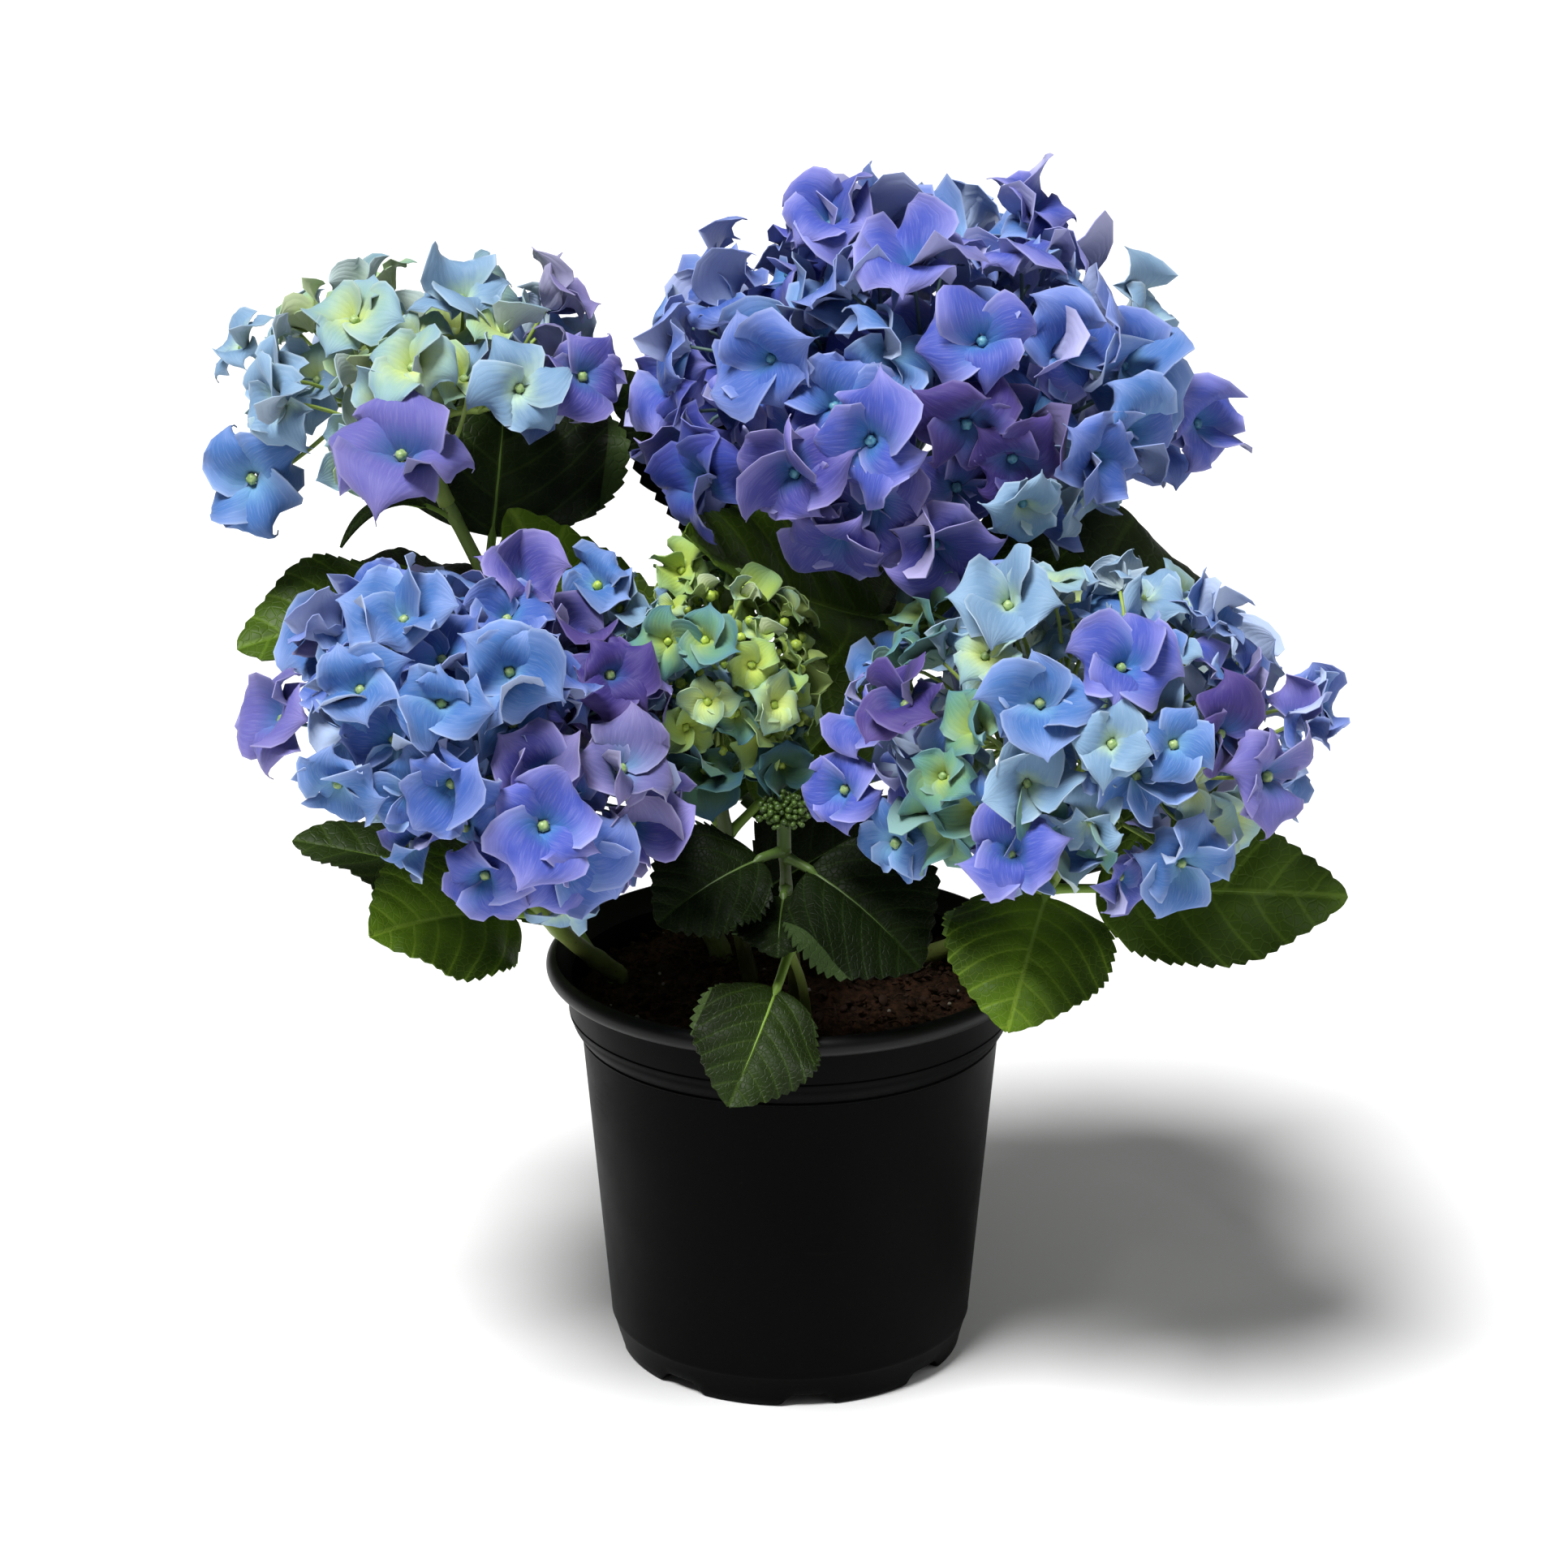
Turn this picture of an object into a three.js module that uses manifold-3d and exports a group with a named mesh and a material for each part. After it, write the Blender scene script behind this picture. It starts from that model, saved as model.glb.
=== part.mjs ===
// A potted mophead hydrangea: a black nursery pot, its compost, seven stems, their leaves and six heads.
// Millimetres, +Z up, with the origin at the middle of the pot's underside.
import * as THREE from "three";
import { mergeVertices } from "three/addons/utils/BufferGeometryUtils.js";
import Module from "manifold-3d";

const wasm = await Module();
wasm.setup();

// Driving dimensions of the pot.
const GAP = 0.3; // clearance between neighbouring solids
const RIM_RADIUS = 85;
const POT_HEIGHT = 146;
const FOOT_RADIUS = 60.5;
const HEEL_RADIUS = 63.7; // where the chamfer above the foot meets the wall
const HEEL_HEIGHT = 10;
const COLLAR_BOTTOM = 118;
const COLLAR_INSIDE = 71; // inner radius at the collar's foot
const COLLAR_RISE = 8; // height in which the collar widens
const COLLAR_WIDTH = 75.2; // inner radius above that
const COLLAR_RADIUS = 78; // outer radius under the rim
const WALL = 1.8;
const FLOOR_TOP = 6.5;
const RECESS = 2.5; // how far the ring between the foot and the central pad is raised
const BEAD = 3.6; // half the depth of the rolled rim
const POT_SIDES = 40;
const NOTCHES = 8; // drainage notches round the foot
const NOTCH_TURN = 0.105; // of the first notch from the front, in radians
const NOTCH_HEIGHT = 4.4;
const NOTCH_WIDE = 20;
const NOTCH_NARROW = 12;
const SOIL_TOP = 134;
const SOIL_CROWN = 3; // how much higher the compost stands in the middle
const SOIL_SINK = 4; // how much lower it stands at the wall
const SOIL_RADIUS = 75;

const TURN = 2 * Math.PI;
const GOLDEN_ANGLE = Math.PI * (3 - Math.sqrt(5));

// Stems: where each leaves the compost, the points it passes, where it meets its head or top pair of leaves,
// and its radius at either end.
const stemOf = (foot, through, tip, thick) => ({ foot, through, tip, thick });
const STEMS = {
  stem_top: stemOf([10, 16], [[16, 22, 190], [30, 26, 235]], [40, 29, 266], [4.6, 3.2]),
  stem_upper_left: stemOf([-24, 22], [[-52, 24, 190], [-92, 23, 250]], [-118, 20, 303], [4.6, 3]),
  stem_lower_left: stemOf([-60, 6], [[-74, -9, 152], [-90, -32, 178]], [-101, -52, 200], [4.4, 3.2]),
  stem_right: stemOf([46, 20], [[64, 2, 150], [82, -24, 172]], [93, -44, 196], [4.4, 3.2]),
  stem_middle: stemOf([-14, -4], [[-18, -7, 160], [-22, -11, 190]], [-24, -17, 214], [3.6, 2.8]),
  stem_bud: stemOf([2, -30], [[1, -38, 155], [-1, -48, 180]], [-2, -57, 205], [3.2, 2.4]),
  stem_front: stemOf([6, -42], [[5, -47, 145], [3, -53, 156]], [0, -60, 168], [2.4, 1.9]),
};

// Leaves of one stem: how far up it each grows, where its tip reaches, the blade's width, how much it arches
// in shares of its length, the way its upper face looks and the bare stalk's share where it isn't the usual one.
const PETIOLE = 0.16; // the usual share of the bare stalk
const growingOn = (stem, leaves) => Object.fromEntries(
  Object.entries(leaves).map(([name, [at, tip, width, arch, faces, stalk = PETIOLE]]) => (
    [name, { stem, at, tip, width, arch, faces, stalk }]
  )),
);
const LEAVES = {
  ...growingOn("stem_upper_left", {
    leaf_upper_left_back: [0.84, [-98, 74, 350], 88, 0.1, [0.15, -1, 0.25]],
    leaf_upper_left_side: [0.73, [-186, -20, 262], 62, 0.1, [-0.1, -0.5, 0.85]],
    leaf_upper_left_dark: [0.68, [-164, 46, 268], 52, 0.12, [0, -0.1, 1]],
    bract_upper_left: [0.97, [-152, -2, 292], 8, 0.28, [-0.3, -0.3, 1]],
    leaf_upper_left_rear: [0.6, [-124, 106, 238], 76, 0.14, [-0.2, 0.5, 1]],
    leaf_upper_left_low: [0.36, [-98, 104, 180], 70, 0.16, [-0.2, 0.6, 1]],
  }),
  ...growingOn("stem_top", {
    leaf_top_front: [0.93, [-35, -36, 306], 66, -0.07, [0.1, -0.6, 0.85], 0.06],
    leaf_top_under: [0.9, [112, 6, 272], 56, 0.06, [0, -0.6, 0.8], 0.08],
    leaf_top_right: [0.76, [160, 72, 243], 74, 0.25, [0.1, -0.45, 0.9]],
    leaf_top_left: [0.9, [-62, 62, 337], 58, -0.03, [0.45, -0.8, 0.4]],
    leaf_top_rear_left: [0.78, [-26, 128, 262], 76, 0.12, [-0.2, 0.5, 1]],
    leaf_top_rear_right: [0.66, [96, 132, 238], 80, 0.14, [0.2, 0.5, 1]],
    leaf_top_low: [0.46, [66, 122, 188], 74, 0.16, [0.2, 0.6, 1]],
    leaf_top_lowest: [0.22, [2, 112, 150], 66, 0.2, [0, 0.7, 0.9]],
  }),
  ...growingOn("stem_middle", {
    leaf_middle_back: [0.76, [-96, 18, 300], 60, -0.06, [0.1, -1, 0.35]],
    leaf_middle_right: [0.72, [42, 6, 256], 46, -0.04, [-0.1, -1, 0.4]],
    leaf_middle_rear: [0.6, [-44, 104, 200], 68, 0.14, [-0.2, 0.5, 1]],
    leaf_middle_low: [0.36, [38, 20, 190], 52, 0.08, [0, -1, 0.5]],
  }),
  ...growingOn("stem_bud", {
    leaf_bud_left: [0.97, [-44, -79, 185], 44, 0.12, [-0.25, -0.75, 0.7]],
    leaf_bud_right: [0.93, [43, -80, 170], 60, 0.12, [0.25, -0.75, 0.7]],
    leaf_bud_front: [0.76, [-4, -86, 176], 34, 0.16, [-0.1, -0.8, 0.6]],
  }),
  ...growingOn("stem_front", {
    leaf_front: [1, [-20, -107, 132], 45, 0.1, [0.2, -0.9, 0.5], 0.28],
  }),
  ...growingOn("stem_right", {
    leaf_right_front: [0.86, [71, -99, 155], 58, 0.2, [0, -0.8, 0.6]],
    leaf_right_side: [0.8, [186, -58, 187], 54, 0.03, [0.05, -0.8, 0.6]],
    leaf_right_rear: [0.6, [158, 34, 200], 68, 0.12, [0.3, 0.3, 1]],
    leaf_right_back: [0.34, [128, 88, 160], 66, 0.16, [0.3, 0.5, 1]],
  }),
  ...growingOn("stem_lower_left", {
    leaf_lower_left_dark: [0.72, [-169, -26, 196], 46, 0.02, [-0.1, -0.2, 1]],
    leaf_lower_left_low: [0.56, [-138, -82, 182], 56, 0.12, [-0.1, -0.8, 0.65]],
    leaf_lower_left_rear: [0.4, [-138, 52, 192], 64, 0.14, [-0.3, 0.4, 1]],
    leaf_lower_left_lowest: [0.14, [-98, 66, 146], 54, 0.2, [-0.4, 0.7, 0.9]],
  }),
};
const PETIOLE_RADIUS = 1.6;
const LEAF_THICK = 0.9; // half a blade's thickness along its midrib
const LEAF_FOLD = 0.22; // how far the two halves stand up from the midrib, in radians
const LEAF_STEPS = 10;
const TOOTH = 0.07; // depth of the coarse teeth in shares of the half width
const SLENDER_WIDTH = 12; // a bract narrower than this has half the stalk and thickness
const TOP_LEAF = 0.99; // a leaf above this share of its stem grows from the stem's tip

// Flower heads: a dome of four-petalled florets round a centre, leaning along its axis. Reach is to the petals'
// tips, lowest is how far down the unit sphere the dome goes, and core is the size of its solid middle, if any.
// Strays are florets that stand out of the dome: the way they look from its centre, their reach and size.
const HEADS = {
  head_top: {
    stem: "stem_top", centre: [41, 30, 333], reach: [91, 84, 65], axis: [0.02, -0.08, 1],
    florets: 36, radius: 26, lowest: -0.5, core: 0.66,
    strays: [
      [[-0.42, -0.1, 0.9], 1.08, 0.8], [[0.1, 0.1, 1], 1.07, 0.9], [[0.5, 0, 0.86], 1.06, 0.8],
      [[1, -0.1, -0.05], 1.08, 0.9], [[-0.15, -0.72, -0.72], 1.02, 0.9],
    ],
  },
  head_upper_left: {
    stem: "stem_upper_left", centre: [-125, 20, 340], reach: [63, 54, 35], axis: [-0.05, -0.1, 1],
    florets: 18, radius: 21, lowest: -0.2, core: 0,
    strays: [
      [[-0.77, -0.43, -0.47], 1.04, 1.2], [[0.02, -0.98, -0.19], 1.05, 1.3], [[-0.86, 0, 0.42], 1.08, 1],
      [[0.12, 0, 1], 0.98, 0.9], [[-0.95, -0.2, -0.1], 1, 1.1],
    ],
  },
  head_lower_left: {
    stem: "stem_lower_left", centre: [-102, -73, 245], reach: [68, 52, 43], axis: [0.45, -0.48, 0.75],
    florets: 28, radius: 21, lowest: -0.15, core: 0.6,
    strays: [
      [[-1, -0.05, -0.02], 1.12, 1.1], [[0.3, -0.5, -0.9], 1.1, 1.1], [[0.9, -0.4, -0.3], 1.02, 1],
      [[0.5, 0.2, 0.8], 1.05, 1],
    ],
  },
  head_right: {
    stem: "stem_right", centre: [95, -70, 247], reach: [73, 60, 54], axis: [0.05, -0.36, 0.93],
    florets: 32, radius: 20, lowest: -0.4, core: 0.62,
    strays: [
      [[1, -0.15, -0.16], 1.03, 1.05], [[-1, -0.2, -0.32], 1.06, 1], [[-0.86, -0.2, 0.1], 1.02, 1.1],
      [[-0.2, -0.6, -0.9], 1.05, 1],
    ],
  },
  head_middle: {
    stem: "stem_middle", centre: [-24, -28, 249], reach: [35, 32, 42], axis: [0.05, -0.35, 0.93],
    florets: 22, radius: 11, lowest: -0.6, core: 0.66,
    strays: [[[-0.78, 0.16, 0.61], 1.4, 1.6], [[-0.75, -0.16, 0.64], 1.25, 1.5]],
  },
  head_bud: {
    stem: "stem_bud", centre: [-2, -60, 217], reach: [11, 10, 8], axis: [0, -0.3, 0.95],
    florets: 6, radius: 4, lowest: 0, core: 0.7,
    strays: [],
  },
};
const PEDICEL_RADIUS = 1.3;
const BRANCHES = 6; // main branches inside an open head
const CLEAR = 0.6; // least distance from a floret to its neighbours outside its head
const INSET = 0.1; // how far inside its reach a floret's middle lies, in shares of its radius
const TILT = 0.7; // how far florets look away from straight out
const SMOOTHING = 0.3; // how far a head's skin may move as needless points are dropped

const COLOURS = {
  pot: 0x141414, soil: 0x1c1310, stem: 0x6f8f34, leaf: 0x2f5220,
  head_top: 0x4f57b8, head_upper_left: 0x8fb4c8, head_lower_left: 0x5a7fd0, head_right: 0x7fa6d6,
  head_middle: 0x9fc48a, head_bud: 0x5f8a2c,
};

const vector = (p) => new THREE.Vector3(...p);

// The seeded rule: the same number from 0 to 1 for the same pair, each time.
function chance(seed, k) {
  const s = Math.sin(seed * 127.1 + k * 311.7) * 43758.5453;
  return s - Math.floor(s);
}

// A closed manifold solid of a three.js geometry, and back.
function solid(geometry) {
  const bare = geometry.clone();
  bare.deleteAttribute("normal");
  bare.deleteAttribute("uv");
  const merged = mergeVertices(bare, 1e-3);
  const all = merged.index.array;
  const kept = [];
  for (let i = 0; i < all.length; i += 3) {
    const [a, b, c] = [all[i], all[i + 1], all[i + 2]];
    if (a !== b && b !== c && a !== c) kept.push(a, b, c);
  }
  const vertProperties = new Float32Array(merged.attributes.position.array);
  const closed = (triVerts) => new wasm.Manifold(new wasm.Mesh({ numProp: 3, vertProperties, triVerts }));
  const made = closed(new Uint32Array(kept));
  return made.volume() > 0 ? made : closed(new Uint32Array(kept).reverse());
}

function geometryOf(manifold) {
  const mesh = manifold.getMesh();
  return new THREE.BufferGeometry()
    .setAttribute("position", new THREE.BufferAttribute(new Float32Array(mesh.vertProperties), 3))
    .setIndex(new THREE.BufferAttribute(new Uint32Array(mesh.triVerts), 1));
}

// A closed skin through rings of points, whose counts may differ. A ring of one point closes an end to a tip,
// and a larger one at either end is capped flat.
function loft(rings) {
  const places = rings.flat();
  const starts = rings.map((_, r) => rings.slice(0, r).reduce((sum, ring) => sum + ring.length, 0));
  const faces = [];
  for (let r = 0; r + 1 < rings.length; r++) {
    const [near, far] = [rings[r].length, rings[r + 1].length];
    const sides = Math.max(near, far);
    for (let k = 0; k < sides; k++) {
      const a = starts[r] + Math.floor((k * near) / sides);
      const b = starts[r] + (Math.floor(((k + 1) * near) / sides) % near);
      const c = starts[r + 1] + Math.floor((k * far) / sides);
      const d = starts[r + 1] + (Math.floor(((k + 1) * far) / sides) % far);
      if (a !== b) faces.push(a, b, d);
      if (c !== d) faces.push(a, d, c);
    }
  }
  const last = starts[rings.length - 1];
  for (let k = 1; k + 1 < rings[0].length; k++) faces.push(0, k + 1, k);
  for (let k = 1; k + 1 < rings[rings.length - 1].length; k++) faces.push(last, last + k, last + k + 1);
  return new THREE.BufferGeometry()
    .setAttribute("position", new THREE.Float32BufferAttribute(places.flatMap((p) => [p.x, p.y, p.z]), 3))
    .setIndex(faces);
}

// A ring of a limb's section, square to its run.
function roundRing(centre, along, radius, sides) {
  const side = new THREE.Vector3().crossVectors(along, new THREE.Vector3(0.3, 1, 0.1)).normalize();
  const up = new THREE.Vector3().crossVectors(side, along).normalize();
  return Array.from({ length: sides }, (_, k) => {
    const turn = (TURN * k) / sides;
    const across = centre.clone().addScaledVector(side, radius * Math.cos(turn));
    return across.addScaledVector(up, radius * Math.sin(turn));
  });
}

// ---- Pot and compost ----

// Outline of the pot as radius and height, from the middle of the underside, over the rim, to the inner floor.
function potOutline() {
  const collarFoot = COLLAR_INSIDE + WALL;
  const collarTop = POT_HEIGHT - 2 * BEAD;
  const beadMiddle = POT_HEIGHT - BEAD;
  const bead = [-0.9, -0.45, 0, 0.45, 0.9].map((a) => [
    RIM_RADIUS - BEAD + BEAD * Math.cos(a), beadMiddle + BEAD * Math.sin(a),
  ]);
  return [
    [0, 0], [20, 0], [23, RECESS], [51, RECESS], [54, 0], [FOOT_RADIUS, 0],
    [HEEL_RADIUS - 0.6, HEEL_HEIGHT - 2], [HEEL_RADIUS, HEEL_HEIGHT + 1],
    [collarFoot, COLLAR_BOTTOM], [COLLAR_RADIUS - 1.6, COLLAR_BOTTOM + 5],
    [COLLAR_RADIUS - 0.6, COLLAR_BOTTOM + 9], [COLLAR_RADIUS, collarTop],
    ...bead, [RIM_RADIUS - BEAD - 0.6, POT_HEIGHT], [COLLAR_RADIUS + 1.4, beadMiddle],
    [COLLAR_RADIUS - WALL, collarTop], [COLLAR_WIDTH, COLLAR_BOTTOM + COLLAR_RISE], [COLLAR_INSIDE, COLLAR_BOTTOM],
    [HEEL_RADIUS - WALL, HEEL_HEIGHT + 2], [FOOT_RADIUS - WALL, FLOOR_TOP], [0, FLOOR_TOP],
  ].map(([r, z]) => new THREE.Vector2(r, z));
}

function lathe(outline) {
  return new THREE.LatheGeometry(outline, POT_SIDES).rotateX(Math.PI / 2);
}

function notch(turn) {
  const shape = new THREE.Shape();
  shape.moveTo(-NOTCH_WIDE / 2, -1);
  shape.lineTo(NOTCH_WIDE / 2, -1);
  shape.lineTo(NOTCH_NARROW / 2, NOTCH_HEIGHT);
  shape.lineTo(-NOTCH_NARROW / 2, NOTCH_HEIGHT);
  const cut = new THREE.ExtrudeGeometry(shape, { depth: 14, bevelEnabled: false });
  return cut.rotateX(Math.PI / 2).translate(0, -FOOT_RADIUS + 7.5, 0).rotateZ(turn);
}

function potSolid() {
  const notches = Array.from({ length: NOTCHES }, (_, k) => solid(notch(NOTCH_TURN + (TURN * k) / NOTCHES)));
  return solid(lathe(potOutline())).subtract(wasm.Manifold.union(notches));
}

// Height of the compost at a share of its radius: crowned in the middle and sunk at the wall.
function soilLevel(share) {
  return SOIL_TOP - SOIL_SINK * share ** 4 + (1 - share) * SOIL_CROWN;
}

function soilSolid() {
  const rings = 5;
  const top = Array.from({ length: rings }, (_, k) => {
    const share = 1 - k / (rings - 1);
    return [(COLLAR_WIDTH - GAP) * share, soilLevel(share)];
  });
  const outline = [
    [0, FLOOR_TOP + GAP], [FOOT_RADIUS - WALL - 1, FLOOR_TOP + GAP],
    [HEEL_RADIUS - WALL - 2 * GAP, HEEL_HEIGHT + 2.5], [COLLAR_INSIDE - 2 * GAP, COLLAR_BOTTOM], ...top,
  ];
  return solid(lathe(outline.map(([r, z]) => new THREE.Vector2(r, z))));
}

// Height of the compost under a point, for the stems' feet.
function soilHeight(x, y) {
  return soilLevel(Math.min(1, Math.hypot(x, y) / SOIL_RADIUS));
}

// ---- Stems ----

const STEM_SIDES = 7;
const STEM_STEPS = 9;

function stemCurve({ foot, through, tip }) {
  const ground = new THREE.Vector3(foot[0], foot[1], soilHeight(...foot) + 1);
  return new THREE.CatmullRomCurve3([ground, ...through.map(vector), vector(tip)]);
}

function stemSolid(name) {
  const stem = STEMS[name];
  const curve = stemCurve(stem);
  const rings = [];
  for (let i = 0; i <= STEM_STEPS; i++) {
    const t = i / STEM_STEPS;
    const flare = 1 + 0.35 * Math.exp(-t * 14);
    const radius = THREE.MathUtils.lerp(stem.thick[0], stem.thick[1], t) * flare;
    const ring = roundRing(curve.getPointAt(t), curve.getTangentAt(t), radius, STEM_SIDES);
    if (i === 0) ring.forEach((p) => p.setZ(soilHeight(...stem.foot) + 1));
    rings.push(ring);
  }
  return solid(loft(rings));
}

// ---- Leaves ----

// Half width of a blade at v along it, from 0 at its base to 1 at its tip: ovate, with a drawn-out tip.
const bladeOutline = (v) => Math.sin(Math.PI * v ** 0.82) ** 0.85 * (1 - 0.25 * v ** 6);

function leafSolid(name) {
  const { stem, at, tip, width, arch, faces, stalk } = LEAVES[name];
  const curve = stemCurve(STEMS[stem]);
  const stemRadius = THREE.MathUtils.lerp(...STEMS[stem].thick, at);
  const node = curve.getPointAt(at);
  const along = curve.getTangentAt(at);
  const out = vector(tip).sub(node);
  const onSide = at < TOP_LEAF;
  if (onSide) out.addScaledVector(along, -out.dot(along));
  out.normalize();
  const clear = stemRadius * (onSide ? 1 : 0.2) + PETIOLE_RADIUS + 0.5 + GAP;
  const base = node.clone().addScaledVector(out, clear);
  if (!onSide) base.addScaledVector(along, PETIOLE_RADIUS + 0.6);
  const end = vector(tip);
  const length = end.distanceTo(base);
  const normal = vector(faces).normalize();
  const bow = base.clone().lerp(end, 0.45).addScaledVector(normal, 2 * arch * length);
  const run = new THREE.QuadraticBezierCurve3(base, bow, end);
  const slender = width < SLENDER_WIDTH ? 0.5 : 1;
  const blade = Array.from({ length: LEAF_STEPS }, (_, k) => stalk + ((1 - stalk) * k) / LEAF_STEPS);
  const steps = [0, stalk / 2, ...blade];
  const rings = steps.map((t, i) => {
    const centre = run.getPoint(t);
    const tangent = run.getTangent(t);
    const side = new THREE.Vector3().crossVectors(tangent, normal).normalize();
    const top = new THREE.Vector3().crossVectors(side, tangent).normalize();
    const v = (t - stalk) / (1 - stalk);
    const bare = PETIOLE_RADIUS * slender;
    const tooth = 1 + (i % 2 ? TOOTH : -TOOTH);
    const half = v <= 0 ? bare : Math.max(bare, (width / 2) * bladeOutline(v) * tooth);
    const thick = v <= 0 ? bare : Math.max(LEAF_THICK * slender, bare * (1 - v));
    const rise = v <= 0 ? 0 : half * Math.sin(LEAF_FOLD);
    const reach = half * Math.cos(LEAF_FOLD);
    const edge = (sign) => centre.clone().addScaledVector(side, sign * reach).addScaledVector(top, rise);
    const middle = (lift) => centre.clone().addScaledVector(top, lift);
    return [edge(-1), middle(thick), edge(1), middle(-thick)];
  });
  return solid(loft([...rings, [end]]));
}

// ---- Flower heads ----

// Direction k of count over a dome about +Z, evenly by the golden angle, down to a lowest height.
function domeDirection(k, count, lowest) {
  const up = 1 - ((1 - lowest) * (k + 0.5)) / count;
  const flat = Math.sqrt(1 - up * up);
  return new THREE.Vector3(flat * Math.cos(k * GOLDEN_ANGLE), flat * Math.sin(k * GOLDEN_ANGLE), up);
}

// A floret: four broad petals in one solid with the stalk that carries them from its root.
function floretSolid({ place, normal, radius, seed }, root, stalk) {
  const side = new THREE.Vector3().crossVectors(normal, new THREE.Vector3(0.2, 0.9, 0.4)).normalize();
  const up = new THREE.Vector3().crossVectors(normal, side);
  const spin = TURN * chance(seed, 1);
  const point = (turn, reach, lift) => place.clone()
    .addScaledVector(side, radius * reach * Math.cos(turn + spin))
    .addScaledVector(up, radius * reach * Math.sin(turn + spin))
    .addScaledVector(normal, radius * lift);
  const rim = [];
  for (let petal = 0; petal < 4; petal++) {
    const turn = (TURN * petal) / 4;
    const wave = 0.5 * (chance(seed, 2 + petal) - 0.5);
    const cleft = point(turn - 0.8, 0.46, 0.03);
    rim.push(cleft, point(turn - 0.46, 0.92, 0.12 + wave), point(turn + 0.26, 1, 0.18 - wave));
  }
  const neck = [0, 1, 2].map((k) => point((TURN * k) / 3, (1.2 * stalk) / radius, -0.13));
  const foot = neck.map((p) => p.clone().sub(place).addScaledVector(normal, 0.13 * radius).add(root));
  return solid(loft([[point(0, 0, 0.08)], rim, neck, foot]));
}

// A three-sided branch between two points.
function branchSolid(from, to, radius) {
  const along = to.clone().sub(from).normalize();
  return solid(loft([roundRing(from, along, radius, 3), roundRing(to, along, radius * 0.75, 3)]));
}

// The turn from upright to a head's axis.
function leanOf(name) {
  const axis = vector(HEADS[name].axis).normalize();
  return new THREE.Quaternion().setFromUnitVectors(new THREE.Vector3(0, 0, 1), axis);
}

// Place, outward way, radius and seed of each floret of a head.
function floretsOf(name) {
  const { centre, reach, florets, radius, lowest, strays } = HEADS[name];
  const seed = name.length;
  const lean = leanOf(name);
  const size = vector(reach);
  const standing = (way, share, scale, k) => {
    const full = way.clone().multiply(size).multiplyScalar(share);
    const outer = full.addScaledVector(way, -INSET * radius * scale);
    const tilt = new THREE.Vector3(chance(k, 5) - 0.5, chance(k, 6) - 0.5, chance(k, 7) - 0.5);
    const normal = way.clone().divide(size).normalize().lerp(way, 0.35).addScaledVector(tilt, TILT);
    return {
      place: outer.applyQuaternion(lean).add(vector(centre)),
      normal: normal.normalize().applyQuaternion(lean),
      radius: radius * scale,
      seed: seed * 100 + k,
    };
  };
  const dome = Array.from({ length: florets }, (_, k) => {
    const way = domeDirection(k, florets, lowest);
    return standing(way, 0.86 + 0.14 * chance(seed, k), 0.9 + 0.25 * chance(seed + 1, k), k);
  });
  const upright = lean.clone().invert();
  const extra = strays.map(([way, share, scale], k) => (
    standing(vector(way).applyQuaternion(upright).normalize(), share, scale, florets + k)
  ));
  return [...dome, ...extra];
}

// Stalks from the stem's tip, through a core or branches, to the florets.
// A floret that would touch what stands there already is left out.
function headSolid(name, standing) {
  const { stem, centre, reach, axis, core } = HEADS[name];
  const middle = vector(centre);
  const lean = leanOf(name);
  const curve = stemCurve(STEMS[stem]);
  const along = curve.getTangentAt(1);
  const foot = curve.getPointAt(1).addScaledVector(along, GAP);
  const hub = middle.clone().addScaledVector(vector(axis).normalize(), -0.35 * reach[2]);
  const thick = STEMS[stem].thick[1];
  const parts = [solid(loft([
    roundRing(foot, along, thick, 5), roundRing(hub, hub.clone().sub(foot).normalize(), thick * 0.8, 5),
  ]))];
  const tips = Array.from({ length: BRANCHES }, (_, k) => {
    const way = domeDirection(k, BRANCHES, 0.1).multiply(vector(reach)).multiplyScalar(0.42);
    return hub.clone().add(way.applyQuaternion(lean));
  });
  if (core) {
    const ball = new THREE.IcosahedronGeometry(1, 1).scale(...reach.map((r) => r * core));
    parts.push(solid(ball.applyQuaternion(lean).translate(...centre)));
  } else {
    tips.forEach((tip) => parts.push(branchSolid(hub, tip, PEDICEL_RADIUS * 1.3)));
  }
  for (const floret of floretsOf(name)) {
    const nearest = tips.reduce((a, b) => (a.distanceTo(floret.place) < b.distanceTo(floret.place) ? a : b));
    const root = core ? middle.clone().lerp(floret.place, 0.7 * core) : nearest;
    const stalk = reach[2] < 12 ? 0.8 : PEDICEL_RADIUS;
    const petals = floretSolid(floret, root, stalk);
    if (standing.some((other) => petals.minGap(other, 2 * CLEAR) < CLEAR)) continue;
    parts.push(petals);
  }
  return wasm.Manifold.union(parts).asOriginal().simplify(SMOOTHING);
}

// ---- The whole plant ----

const part = new THREE.Group();

function addNode(name, manifold, colour, roughness) {
  const material = new THREE.MeshStandardMaterial({ color: colour, roughness, metalness: 0 });
  const mesh = new THREE.Mesh(geometryOf(manifold), material);
  mesh.name = name;
  part.add(mesh);
  return manifold;
}

addNode("pot", potSolid(), COLOURS.pot, 0.45);
addNode("soil", soilSolid(), COLOURS.soil, 1);
const standing = [];
for (const name of Object.keys(STEMS)) {
  standing.push(addNode(name, stemSolid(name), COLOURS.stem, 0.6));
}
for (const name of Object.keys(LEAVES)) {
  standing.push(addNode(name, leafSolid(name), COLOURS.leaf, 0.5));
}
for (const name of Object.keys(HEADS)) {
  standing.push(addNode(name, headSolid(name, standing), COLOURS[name], 0.7));
}

export default part;
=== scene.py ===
"""A potted mophead hydrangea: black nursery pot, compost, shoots, veined leaves and six flower heads.

Sizes are in millimetres and become metres where a mesh is made.
"""
import math

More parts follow.
